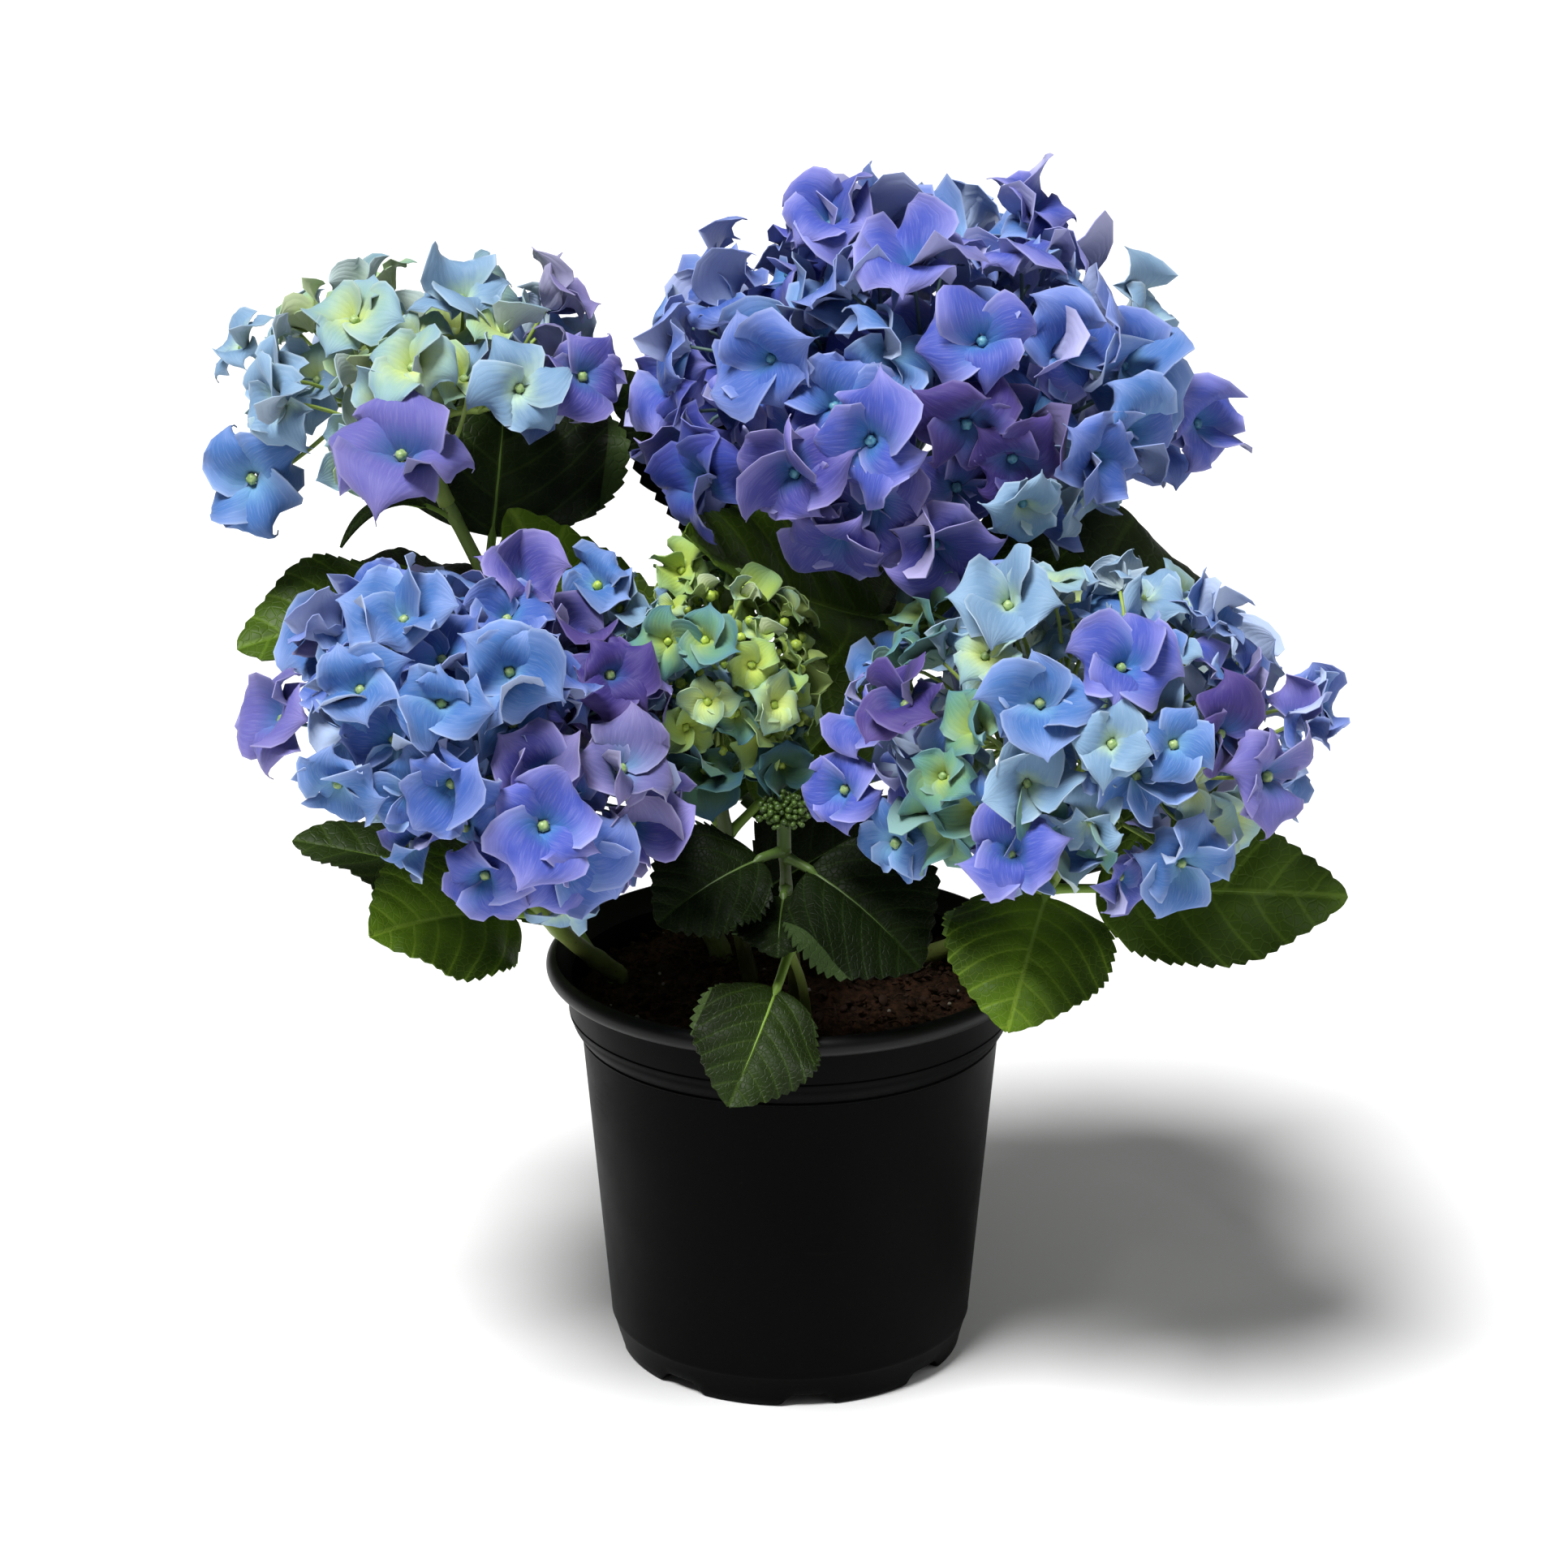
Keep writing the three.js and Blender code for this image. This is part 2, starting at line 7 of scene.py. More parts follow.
import bpy
import numpy as np
from mathutils.bvhtree import BVHTree
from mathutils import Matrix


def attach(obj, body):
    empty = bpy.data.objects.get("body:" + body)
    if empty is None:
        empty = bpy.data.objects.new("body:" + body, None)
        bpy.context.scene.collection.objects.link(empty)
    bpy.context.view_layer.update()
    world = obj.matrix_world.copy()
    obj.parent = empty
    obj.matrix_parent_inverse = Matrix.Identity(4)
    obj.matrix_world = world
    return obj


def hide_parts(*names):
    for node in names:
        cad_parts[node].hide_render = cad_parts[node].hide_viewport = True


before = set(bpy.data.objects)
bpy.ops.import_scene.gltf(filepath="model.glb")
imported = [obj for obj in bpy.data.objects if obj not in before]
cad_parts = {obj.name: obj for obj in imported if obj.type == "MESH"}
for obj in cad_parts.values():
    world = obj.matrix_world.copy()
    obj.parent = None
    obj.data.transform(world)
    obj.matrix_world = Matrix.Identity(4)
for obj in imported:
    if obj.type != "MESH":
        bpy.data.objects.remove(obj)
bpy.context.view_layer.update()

MM = 0.001
TURN = 2 * math.pi
GOLDEN_ANGLE = math.pi * (3 - math.sqrt(5))
UP = np.array([0.0, 0.0, 1.0])

# ---- Sizes shared with the source ----

RIM_RADIUS = 85
POT_HEIGHT = 146
FOOT_RADIUS = 60.5
HEEL_RADIUS = 63.7
HEEL_HEIGHT = 10
COLLAR_BOTTOM = 118
COLLAR_FOOT = 73.6
WALL = 1.8
FLOOR_TOP = 6.5
RECESS = 2.5
BEAD = 3.6
NOTCHES = 8
NOTCH_TURN = 0.105
NOTCH_HEIGHT = 4.4
NOTCH_WIDE = 20
NOTCH_NARROW = 12
SOIL_TOP = 134
SOIL_CROWN = 3


def stem_of(foot, through, tip, thick):
    return dict(foot=foot, through=through, tip=tip, thick=thick)


STEMS = {
    "stem_top": stem_of((10, 16), [(16, 22, 190), (30, 26, 235)], (40, 29, 266), (4.6, 3.2)),
    "stem_upper_left": stem_of((-24, 22), [(-52, 24, 190), (-92, 23, 250)], (-118, 20, 303), (4.6, 3)),
    "stem_lower_left": stem_of((-60, 6), [(-74, -9, 152), (-90, -32, 178)], (-101, -52, 200), (4.4, 3.2)),
    "stem_right": stem_of((46, 20), [(64, 2, 150), (82, -24, 172)], (93, -44, 196), (4.4, 3.2)),
    "stem_middle": stem_of((-14, -4), [(-18, -7, 160), (-22, -11, 190)], (-24, -17, 214), (3.6, 2.8)),
    "stem_bud": stem_of((2, -30), [(1, -38, 155), (-1, -48, 180)], (-2, -57, 205), (3.2, 2.4)),
    "stem_front": stem_of((6, -42), [(5, -47, 145), (3, -53, 156)], (0, -60, 168), (2.4, 1.9)),
}
DARK_STEMS = ("stem_middle", "stem_bud")  # in the shade of the leaves


def growing_on(stem, leaves):
    """Leaves of one stem: how far up, tip, width, arch, the upper face's way, tone, which is partly painted
    shade and light, and the stalk's share.
    """
    keys = ("at", "tip", "width", "arch", "faces", "tone_and_shade", "stalk")
    return {name: dict(zip(keys, (*values, PETIOLE)), stem=stem) for name, values in leaves.items()}


PETIOLE = 0.16
LEAVES = {
    **growing_on("stem_upper_left", {
        "leaf_upper_left_back": (0.84, (-98, 74, 350), 88, 0.1, (0.15, -1, 0.25), "deep"),
        "leaf_upper_left_side": (0.73, (-186, -20, 262), 62, 0.1, (-0.1, -0.5, 0.85), "mid"),
        "leaf_upper_left_dark": (0.68, (-164, 46, 268), 52, 0.12, (0, -0.1, 1), "deep"),
        "bract_upper_left": (0.97, (-152, -2, 292), 8, 0.28, (-0.3, -0.3, 1), "deep"),
        "leaf_upper_left_rear": (0.6, (-124, 106, 238), 76, 0.14, (-0.2, 0.5, 1), "mid"),
        "leaf_upper_left_low": (0.36, (-98, 104, 180), 70, 0.16, (-0.2, 0.6, 1), "deep"),
    }),
    **growing_on("stem_top", {
        "leaf_top_front": (0.93, (-35, -36, 306), 66, -0.07, (0.1, -0.6, 0.85), "mid", 0.06),
        "leaf_top_under": (0.9, (112, 6, 272), 56, 0.06, (0, -0.6, 0.8), "mid", 0.08),
        "leaf_top_right": (0.76, (160, 72, 243), 74, 0.25, (0.1, -0.45, 0.9), "deep"),
        "leaf_top_left": (0.9, (-62, 62, 337), 58, -0.03, (0.45, -0.8, 0.4), "dark"),
        "leaf_top_rear_left": (0.78, (-26, 128, 262), 76, 0.12, (-0.2, 0.5, 1), "mid"),
        "leaf_top_rear_right": (0.66, (96, 132, 238), 80, 0.14, (0.2, 0.5, 1), "deep"),
        "leaf_top_low": (0.46, (66, 122, 188), 74, 0.16, (0.2, 0.6, 1), "mid"),
        "leaf_top_lowest": (0.22, (2, 112, 150), 66, 0.2, (0, 0.7, 0.9), "mid"),
    }),
    **growing_on("stem_middle", {
        "leaf_middle_back": (0.76, (-96, 18, 300), 60, -0.06, (0.1, -1, 0.35), "bright"),
        "leaf_middle_right": (0.72, (42, 6, 256), 46, -0.04, (-0.1, -1, 0.4), "mid"),
        "leaf_middle_rear": (0.6, (-44, 104, 200), 68, 0.14, (-0.2, 0.5, 1), "mid"),
        "leaf_middle_low": (0.36, (38, 20, 190), 52, 0.08, (0, -1, 0.5), "dark"),
    }),
    **growing_on("stem_bud", {
        "leaf_bud_left": (0.97, (-44, -79, 185), 44, 0.12, (-0.25, -0.75, 0.7), "dark"),
        "leaf_bud_right": (0.93, (43, -80, 170), 60, 0.12, (0.25, -0.75, 0.7), "dark"),
        "leaf_bud_front": (0.76, (-4, -86, 176), 34, 0.16, (-0.1, -0.8, 0.6), "dark"),
    }),
    **growing_on("stem_front", {
        "leaf_front": (1, (-20, -107, 132), 45, 0.1, (0.2, -0.9, 0.5), "deep", 0.28),
    }),
    **growing_on("stem_right", {
        "leaf_right_front": (0.86, (71, -99, 155), 58, 0.2, (0, -0.8, 0.6), "bright"),
        "leaf_right_side": (0.8, (186, -58, 187), 54, 0.03, (0.05, -0.8, 0.6), "mid"),
        "leaf_right_rear": (0.6, (158, 34, 200), 68, 0.12, (0.3, 0.3, 1), "mid"),
        "leaf_right_back": (0.34, (128, 88, 160), 66, 0.16, (0.3, 0.5, 1), "deep"),
    }),
    **growing_on("stem_lower_left", {
        "leaf_lower_left_dark": (0.72, (-169, -26, 196), 46, 0.02, (-0.1, -0.2, 1), "deep"),
        "leaf_lower_left_low": (0.56, (-138, -82, 182), 56, 0.12, (-0.1, -0.8, 0.65), "bright"),
        "leaf_lower_left_rear": (0.4, (-138, 52, 192), 64, 0.14, (-0.3, 0.4, 1), "mid"),
        "leaf_lower_left_lowest": (0.14, (-98, 66, 146), 54, 0.2, (-0.4, 0.7, 0.9), "mid"),
    }),
}
PETIOLE_RADIUS = 1.6
LEAF_FOLD = 0.22

# A head's zones are where its colours lie: a floret takes one of the kinds of the zone that it looks towards.
# Zones and strays that lie in shade take darker kinds, partly their own colour and partly painted shade.
# Bend is how far the petals bend back, from 0, cupped, to 1. A stray is a floret that stands out of the dome:
# the way it lies from the head's middle, its reach, petal length, kind, the way it faces, its bend and spin.
HEADS = {
    "head_top": dict(
        centre=(41, 30, 333), reach=(91, 84, 65), axis=(0.02, -0.08, 1), lowest=-0.36, outer=62, inner=24,
        petal=27, bend=(0.35, 1.0), bead="bead_blue", stalk="stalk_blue", slot="petals_violet_blue",
        strays=[
            ((0.23, -0.78, 0.58), 1.06, 30, "violet_blue", (0.15, -0.9, 0.42), 1, 24),
            ((0, -0.54, 0.84), 1.04, 31, "violet_blue", (-0.05, -0.45, 0.9), 0.5, 4),
            ((-0.15, -0.97, 0.17), 1.05, 29, "violet_blue", (-0.1, -0.95, 0.1), 0.85, 84),
            ((0.19, -0.95, 0.25), 0.96, 29, "purple", (0.3, -0.9, -0.1), 0.9, 20),
            ((-0.41, -0.91, -0.02), 1.05, 28, "violet", (-0.35, -0.9, 0.05), 0.75, 28),
            ((0.38, -0.91, -0.18), 1, 22, "sky", (0.4, -0.9, -0.2), 0.7, 60),
            ((-0.28, -0.13, 0.95), 1.03, 25, "violet_blue", (-0.5, -0.5, 0.7), 0.6, 62),
            ((-0.75, -0.64, -0.17), 1.02, 26, "deep_blue", (-0.7, -0.7, -0.1), 0.8, 56),
            ((-0.27, -0.9, -0.34), 1, 29, "violet", (-0.1, -0.8, -0.6), 0.8, 72),
            ((0.06, -0.93, -0.37), 1, 27, "violet", (0.15, -0.85, -0.5), 0.8, 12),
            ((0.41, 0.23, 0.88), 1.06, 24, "violet_blue", (0.5, -0.4, 0.75), 0.6, 10),
            ((-0.5, -0.71, 0.49), 1.03, 26, "blue", (-0.5, -0.8, 0.3), 0.5, 8),
            ((-0.15, -0.97, -0.2), 0.98, 27, "violet", (0, -0.9, -0.3), 0.8, 0),
            ((0.17, -0.97, -0.15), 0.9, 26, "violet", (0.1, -0.95, 0), 0.9, 84),
            ((0.36, -0.93, 0.06), 0.96, 24, "purple", (0.5, -0.85, -0.2), 0.9, 36),
            ((0.64, -0.77, 0.01), 1, 25, "blue", (0.7, -0.7, -0.1), 0.8, 24),
            ((1, -0.1, -0.05), 1.08, 25, "violet_blue", (0.8, -0.5, 0.2), 0.7, 30),
        ],
        zones=[
            ((0.9, -0.4, 0.1), "blue cornflower blue blue sky"),
            ((0, -0.3, 1), "violet_blue blue violet_blue cornflower"),
            ((-0.6, -0.5, 0.6), "blue violet_blue blue cornflower blue"),
            ((0.3, -1, 0.2), "violet_blue blue violet_blue purple blue"),
            ((-0.3, -1, 0), "violet_blue deep_blue blue violet_blue"),
            ((-0.9, -0.4, -0.1), "deep_blue violet deep_blue violet_blue"),
            ((-0.1, -0.6, -0.8), "violet deep_blue violet violet_blue"),
            ((0, 1, 0.2), "blue deep_blue violet_blue cornflower"),
        ]),
    "head_upper_left": dict(
        centre=(-125, 20, 340), reach=(63, 54, 35), axis=(-0.05, -0.1, 1), lowest=-0.2, outer=29, inner=9,
        petal=23, bend=(0.1, 0.85), bead="bead_green", stalk="stalk_pale", slot="petals_pale_aqua",
        strays=[
            ((-0.02, -0.98, -0.14), 1.22, 38, "purple_soft", (0.03, -0.52, 0.85), 0.9, 0),
            ((-0.75, -0.33, -0.58), 1.19, 32, "cornflower", (-0.2, -0.95, 0.2), 1.15, 14),
            ((-0.67, -0.7, 0.24), 1.03, 21, "sky", (-0.6, -0.75, 0.3), 0.5, 84),
            ((0.56, -0.76, 0.34), 1.04, 25, "sky", (0.3, -0.85, 0.4), 1, 50),
            ((0.88, -0.38, 0.29), 1.02, 23, "violet", (0.6, -0.75, 0.3), 0.9, 6),
            ((0.01, -0.83, 0.56), 1.02, 22, "aqua", (-0.05, -0.7, 0.7), 0.8, 76),
            ((-0.32, -0.41, 0.85), 1.05, 21, "aqua", (-0.4, -0.6, 0.7), 0.4, 78),
            ((-0.86, 0, 0.42), 1.08, 21, "sky", (-0.6, -0.5, 0.6), 0.6, 20),
            ((0.22, -0.22, 0.95), 1.05, 23, "sky", (0.1, -0.5, 0.85), 0.5, 30),
        ],
        zones=[
            ((-0.2, -0.9, 0.4), "lime aqua aqua"),
            ((0, -0.2, 1), "aqua lime aqua sky"),
            ((-1, 0, 0), "sky aqua sky"),
            ((1, -0.4, 0), "sky cornflower lilac"),
            ((0.4, -0.9, 0), "sky aqua lime"),
            ((0, 1, 0), "aqua sky cornflower"),
        ]),
    "head_lower_left": dict(
        centre=(-102, -73, 245), reach=(68, 52, 43), axis=(0.45, -0.48, 0.75), lowest=-0.15, outer=50,
        inner=22, petal=21.5, bend=(0.3, 0.95), bead="bead_green", stalk="stalk_blue",
        slot="petals_cornflower",
        strays=[
            ((-0.98, -0.18, 0.07), 1, 26, "purple_soft", (-0.75, -0.5, 0.3), 0.7, 64),
            ((-0.4, -0.73, 0.55), 1.02, 22, "cornflower", (-0.1, -0.9, 0.5), 0.6, 30),
            ((0.02, -0.81, 0.58), 1.03, 23, "cornflower", (0.1, -0.9, 0.4), 0.85, 10),
            ((-0.17, -0.35, 0.92), 1.02, 23, "cornflower", (0, -0.6, 0.8), 0.4, 88),
            ((0.35, -0.56, 0.75), 1.02, 24, "cornflower", (0.3, -0.8, 0.5), 0.5, 86),
            ((0.02, -0.99, 0.14), 1, 23, "blue", (-0.1, -0.95, -0.1), 0.9, 46),
            ((0.39, -0.91, -0.14), 1.05, 27, "violet_blue", (0.1, -0.9, 0.3), 0.7, 2),
            ((0.81, -0.56, 0.17), 1.03, 26, "lilac", (0.6, -0.75, 0.3), 0.6, 16),
            ((0.3, -0.34, -0.89), 1.05, 19, "sky", (0.3, -0.7, -0.6), 1, 42),
            ((0.05, -0.85, -0.53), 1.03, 25, "violet_blue", (-0.2, -0.9, -0.3), 0.9, 84),
            ((0.79, -0.02, 0.62), 1, 22, "purple", (0.5, -0.8, 0.3), 0.8, 66),
            ((-0.61, -0.79, -0.03), 1.02, 20, "cornflower", (-0.5, -0.8, -0.2), 0.9, 60),
            ((0.29, 0.37, 0.88), 1.1, 22, "violet", (0.3, -0.5, 0.8), 0.5, 8),
        ],
        zones=[
            ((-0.4, -0.8, 0.5), "cornflower blue cornflower blue"),
            ((-0.3, 0.1, 1), "cornflower blue lilac cornflower"),
            ((0.9, -0.3, 0.1), "lilac violet purple blue violet"),
            ((0.3, -0.9, -0.4), "blue violet_blue cornflower violet_blue"),
            ((-0.9, -0.2, -0.3), "sky cornflower blue"),
            ((0, 1, 0), "blue cornflower violet_blue"),
        ]),
    "head_right": dict(
        centre=(95, -70, 247), reach=(73, 60, 54), axis=(0.05, -0.36, 0.93), lowest=-0.4, outer=64,
        inner=20, petal=20.5, bend=(0.2, 0.85), bead="bead_green", stalk="stalk_pale",
        slot="petals_light_blue",
        strays=[
            ((-0.21, -0.83, 0.51), 1.04, 23, "cornflower", (-0.1, -0.9, 0.4), 0.5, 10),
            ((0.13, -0.73, 0.67), 1.05, 25, "violet_blue", (0.2, -0.8, 0.55), 0.8, 8),
            ((0.09, -0.94, 0.32), 1.03, 21, "sky", (0.1, -0.9, 0.4), 0.75, 0),
            ((0.35, -0.89, 0.3), 1.02, 21, "cornflower", (0.4, -0.85, 0.3), 0.8, 82),
            ((-0.32, -0.32, 0.89), 1.05, 24, "sky", (-0.15, -0.75, 0.65), 0.5, 88),
            ((0.41, -0.78, -0.48), 1, 23, "cornflower", (0.35, -0.9, -0.1), 0.6, 30),
            ((0.77, -0.64, 0.01), 1.02, 28, "purple_soft", (0.6, -0.78, 0.15), 0.9, 44),
            ((-0.77, -0.52, 0.37), 1.04, 22, "purple", (-0.5, -0.7, 0.5), 0.5, 50),
            ((-0.33, -0.86, -0.39), 1.04, 24, "violet_blue", (-0.05, -0.8, 0.35), 0.85, 12),
            ((-0.96, -0.11, -0.27), 1.12, 22, "violet_blue", (-0.6, -0.75, 0.1), 0.9, 70),
            ((-0.64, -0.77, 0.04), 1, 15, "young_aqua", (-0.2, -0.9, 0.3), 0.5, 64),
            ((0.58, -0.75, 0.32), 1, 22, "purple", (0.6, -0.75, 0.2), 0.8, 58),
            ((-0.45, -0.55, 0.7), 1, 18, "aqua", (-0.3, -0.8, 0.5), 0.7, 60),
            ((-0.8, -0.22, -0.56), 1.06, 22, "cornflower", (-0.4, -0.9, 0), 0.8, 88),
        ],
        zones=[
            ((-0.6, -0.5, 0.7), "aqua sky young_aqua sky"),
            ((0.2, 0, 1), "sky sky cornflower aqua"),
            ((-0.5, -0.9, 0), "aqua sky young_aqua cornflower"),
            ((0.2, -0.9, 0.4), "blue cornflower sky cornflower"),
            ((0.4, -0.9, -0.1), "aqua sky cornflower"),
            ((0.9, -0.4, 0.2), "violet_blue cornflower blue purple_soft cornflower"),
            ((-0.2, -0.6, -0.8), "cornflower violet_blue blue cornflower"),
            ((-1, 0, -0.2), "cornflower violet_blue blue"),
            ((0, 1, 0), "sky cornflower aqua"),
        ]),
    "head_middle": dict(
        centre=(-24, -28, 249), reach=(35, 32, 42), axis=(0.05, -0.35, 0.93), lowest=-0.6, outer=54,
        inner=22, petal=13, bend=(0.1, 0.7), bead="bead_young", stalk="stalk_pale",
        slot="petals_young_green",
        strays=[
            ((-0.78, 0.06, 0.62), 1.5, 18, "cornflower", (-0.3, -0.7, 0.6), 0.5, 64),
            ((-0.79, 0.07, 0.61), 1.2, 17, "sky", (-0.3, -0.8, 0.5), 0.6, 60),
            ((-0.45, -0.7, 0.56), 1.05, 15, "young_aqua", (-0.2, -0.9, 0.4), 0.4, 84),
            ((-0.11, -0.81, 0.58), 1.05, 15, "young_aqua", (0.05, -0.9, 0.4), 0.5, 78),
            ((-0.32, 0.14, 0.94), 1.12, 14, "young_green", (-0.1, -0.6, 0.8), 0.4, 76),
            ((-0.09, -0.99, 0.09), 1.02, 13, "lime", (0.05, -0.95, 0.2), 0.5, 22),
            ((0.5, -0.87, 0.03), 1.05, 15, "lime", (0.3, -0.9, 0.3), 0.6, 10),
            ((0.58, -0.63, -0.51), 1.05, 17, "teal", (0.3, -0.9, -0.1), 0.4, 38),
            ((-0.11, -0.84, -0.54), 1, 17, "teal", (-0.05, -0.95, -0.1), 0.4, 8),
        ],
        zones=[
            ((0.4, -0.2, 0.9), "young_green young_green lime"),
            ((-0.6, -0.8, 0.3), "young_aqua sky young_aqua"),
            ((0.5, -0.9, -0.1), "young_green young_aqua young_green"),
            ((0.2, -0.6, -0.8), "teal young_aqua teal"),
            ((0, 1, 0), "young_aqua young_green"),
        ]),
}

# A floret's size and its petals' width by kind, where they aren't 1: the pale kinds are the youngest.
GROWTH = {"lime": 0.8, "aqua": 0.88, "sky": 0.95, "teal": 1.1}
SLIMNESS = {"lime": 0.8, "aqua": 0.8, "sky": 0.86, "young_green": 0.86, "young_aqua": 0.86}
BUD = dict(stem="stem_bud", centre=(-2, -60, 217), reach=(11, 10, 8), axis=(0, -0.3, 0.95), beads=70)
YOUNG_BUDS = 130
BRANCHES = 12
INSET = 0.1
TILT = 1.5
STRAY_TILT = 0.5

# ---- Colours, as sRGB codes ----

# Heart, blade, tip and back of each kind of petal. The tips and backs are the petals' own tints, made lighter
# as painted highlight
PETAL_COLOURS = {
    "deep_blue": ("32608c", "2d3b8e", "5858a8", "8c94c8"),
    "blue": ("4478ac", "3a57a0", "7e8ec8", "b2bcde"),
    "violet_blue": ("3c6ea8", "404ea2", "8e8cca", "bcbce0"),
    "violet": ("365e96", "40408a", "847cb8", "b6b0d8"),
    "purple": ("305088", "342a6c", "584884", "8880b0"),
    "purple_soft": ("486aa2", "5c5a9e", "8078b0", "aeaacc"),
    "cornflower": ("6a98bc", "4068a4", "8298cc", "bccae2"),
    "sky": ("a8c2ac", "6c8cab", "8aa6c0", "c0cfda"),
    "aqua": ("bccc7c", "84a49e", "7e9eb6", "bccac6"),
    "lime": ("bac864", "98b078", "80a69a", "bcc69c"),
    "lilac": ("5c7ca4", "5e5c90", "8078a6", "aeacca"),
    "young_green": ("b0c054", "8ca650", "86a878", "a4b86c"),
    "young_aqua": ("98ac50", "5a866c", "4e7c8e", "84a4a2"),
    "teal": ("4c6c34", "2a4838", "264a60", "4c6c58"),
}
HEART_REACH = {"aqua": 0.62, "lime": 0.62, "young_green": 0.6, "young_aqua": 0.6}  # of the petal, else 0.42
# Blade, middle, vein and back of each tone of leaf. A tone is partly the leaf's own green and partly painted
# light and shade: the darker tones for leaves that lie in shade, the brighter for lit ones
LEAF_COLOURS = {
    "dark": ("0a1204", "101a06", "1e2c0e", "2e3e20"),
    "deep": ("141e06", "20300a", "36481a", "42562a"),
    "mid": ("283a08", "3c540e", "5a7424", "566f32"),
    "bright": ("344a0c", "567614", "7c9830", "6c8a3c"),
}

# Two colours each, which lie in clouds. shoot_dark is the shoot's colour darkened as painted shade, for the
# shoots in the shade of the leaves
SHOOT_COLOURS = {"shoot": ("8a9e50", "5e7830"), "shoot_dark": ("46581e", "2c3c12")}
STALK_COLOURS = {
    "petiole": ("7d9c3c", "5f7f2c"),
    "petiole_dark": ("4c6428", "34481c"),
    "stalk_pale": ("a8bc60", "6f8a38"),
    "stalk_blue": ("5a7088", "44603c"),
}
BEAD_COLOURS = {
    "bead_blue": ("5c98a8", "3c6c8c"),
    "bead_green": ("a0b478", "749458"),
    "bead_young": ("b0c450", "86a23a"),
    "bud_dark": ("465f22", "22360f"),
}
CHIP_COLOURS = {"bark_chip": ("38261c", 0.8), "perlite": ("8c8478", 0.7)}  # with roughness
SPECK_BROWN = "4c3220"
FOOT_BROWN = "5c4a2a"
POT_COLOURS = ("050505", "0c0c0b", "1a1814")  # plain, scuffed and dusty
SCUFF_SCALE = (60, 60, 900)
SOIL_COLOURS = ("20170f", "54392a", "33221a")  # dark, light and between the crumbs
FLOOR_COLOUR = "ececec"
STALK_LOOK = (0.5, 0.35, 90)  # roughness, specular and how fine the clouds are
BEAD_LOOK = (0.4, 0.4, 700, 2, (0.35, 0.65))
POT_SHINE = {"pot_plastic": 0.025, "pot_rim": 0.18}


# ---- Small mathematics ----

# The seeded rule is the fraction of a sine with a large gain.
HASH = (127.1, 311.7, 74.7)
HASH_GAIN = 43758.5453
HASH_STEP = 17.3


def linear(code, gain=1.0):
    """A colour's linear values with alpha, from its six-digit sRGB code."""
    shares = [int(code[i:i + 2], 16) / 255 for i in (0, 2, 4)]
    return (*[gain * (s / 12.92 if s < 0.04 else ((s + 0.055) / 1.055) ** 2.4) for s in shares], 1.0)


def chance(seed, k):
    """The seeded rule: the same number from 0 to 1 for the same pair, each time."""
    spot = np.sin(seed * HASH[0] + k * HASH[1]) * HASH_GAIN
    return spot - np.floor(spot)


def between(low, high, share):
    return low + (high - low) * share


def unit(v):
    v = np.asarray(v, float)
    return v / np.linalg.norm(v)


def units(rows):
    return rows / np.linalg.norm(rows, axis=-1, keepdims=True)


def smooth(value, low, high):
    t = np.clip((value - low) / (high - low), 0, 1)
    return t * t * (3 - 2 * t)


def turn_to(axis):
    """The rotation matrix that takes straight up to an axis by the shortest way."""
    a = unit(axis)
    v = np.cross(UP, a)
    k = np.array([[0, -v[2], v[1]], [v[2], 0, -v[0]], [-v[1], v[0], 0]])
    return np.eye(3) + k + k @ k / (1 + float(UP @ a))


def lattice(points, cell, seed):
    """Smooth noise from 0 to 1 over points, with random values on a grid of a cell's size."""
    q = np.asarray(points, float) / cell
    base = np.floor(q).astype(np.int64)
    part = smooth(q - base, 0, 1)
    total = np.zeros(q.shape[:-1])
    for corner in np.ndindex(2, 2, 2):
        spot = np.sin((base + corner) @ np.array(HASH) + seed * HASH_STEP) * HASH_GAIN
        share = np.prod(np.where(np.array(corner) == 1, part, 1 - part), axis=-1)
        total += share * (spot - np.floor(spot))
    return total


def quadratic(start, bend, end, t):
    """Points of the curve from start to end that is drawn towards bend, at shares t."""
    t = np.asarray(t, float)[:, None]
    return start * (1 - t) ** 2 + bend * 2 * t * (1 - t) + end * t**2


class Run:
    """A centripetal Catmull-Rom curve through points, read by shares of its length."""

    STEPS = 200
    NEAR = 0.005

    def __init__(self, points):
        p = [np.asarray(q, float) for q in points]
        p = [2 * p[0] - p[1], *p, 2 * p[-1] - p[-2]]
        spans = len(p) - 3
        places = []
        for i in range(self.STEPS + 1):
            t = i / self.STEPS * spans
            k = min(int(t), spans - 1)
            places.append(self.span(p[k:k + 4], t - k))
        self.places = np.array(places)
        steps = np.linalg.norm(np.diff(self.places, axis=0), axis=1)
        self.length = steps.sum()
        self.shares = np.concatenate([[0], np.cumsum(steps)]) / self.length

    @staticmethod
    def span(p, t):
        d = [max(np.linalg.norm(p[i + 1] - p[i]) ** 0.5, 1e-4) for i in range(3)]
        first = (p[1] - p[0]) / d[0] - (p[2] - p[0]) / (d[0] + d[1]) + (p[2] - p[1]) / d[1]
        last = (p[2] - p[1]) / d[1] - (p[3] - p[1]) / (d[1] + d[2]) + (p[3] - p[2]) / d[2]
        a, b = first * d[1], last * d[1]
        return p[1] + a * t + (-3 * p[1] + 3 * p[2] - 2 * a - b) * t**2 + (2 * p[1] - 2 * p[2] + a + b) * t**3

    def at(self, share):
        return np.array([np.interp(share, self.shares, self.places[:, i]) for i in range(3)])

    def along(self, share):
        return unit(self.at(min(1, share + self.NEAR)) - self.at(max(0, share - self.NEAR)))


# ---- Meshes ----


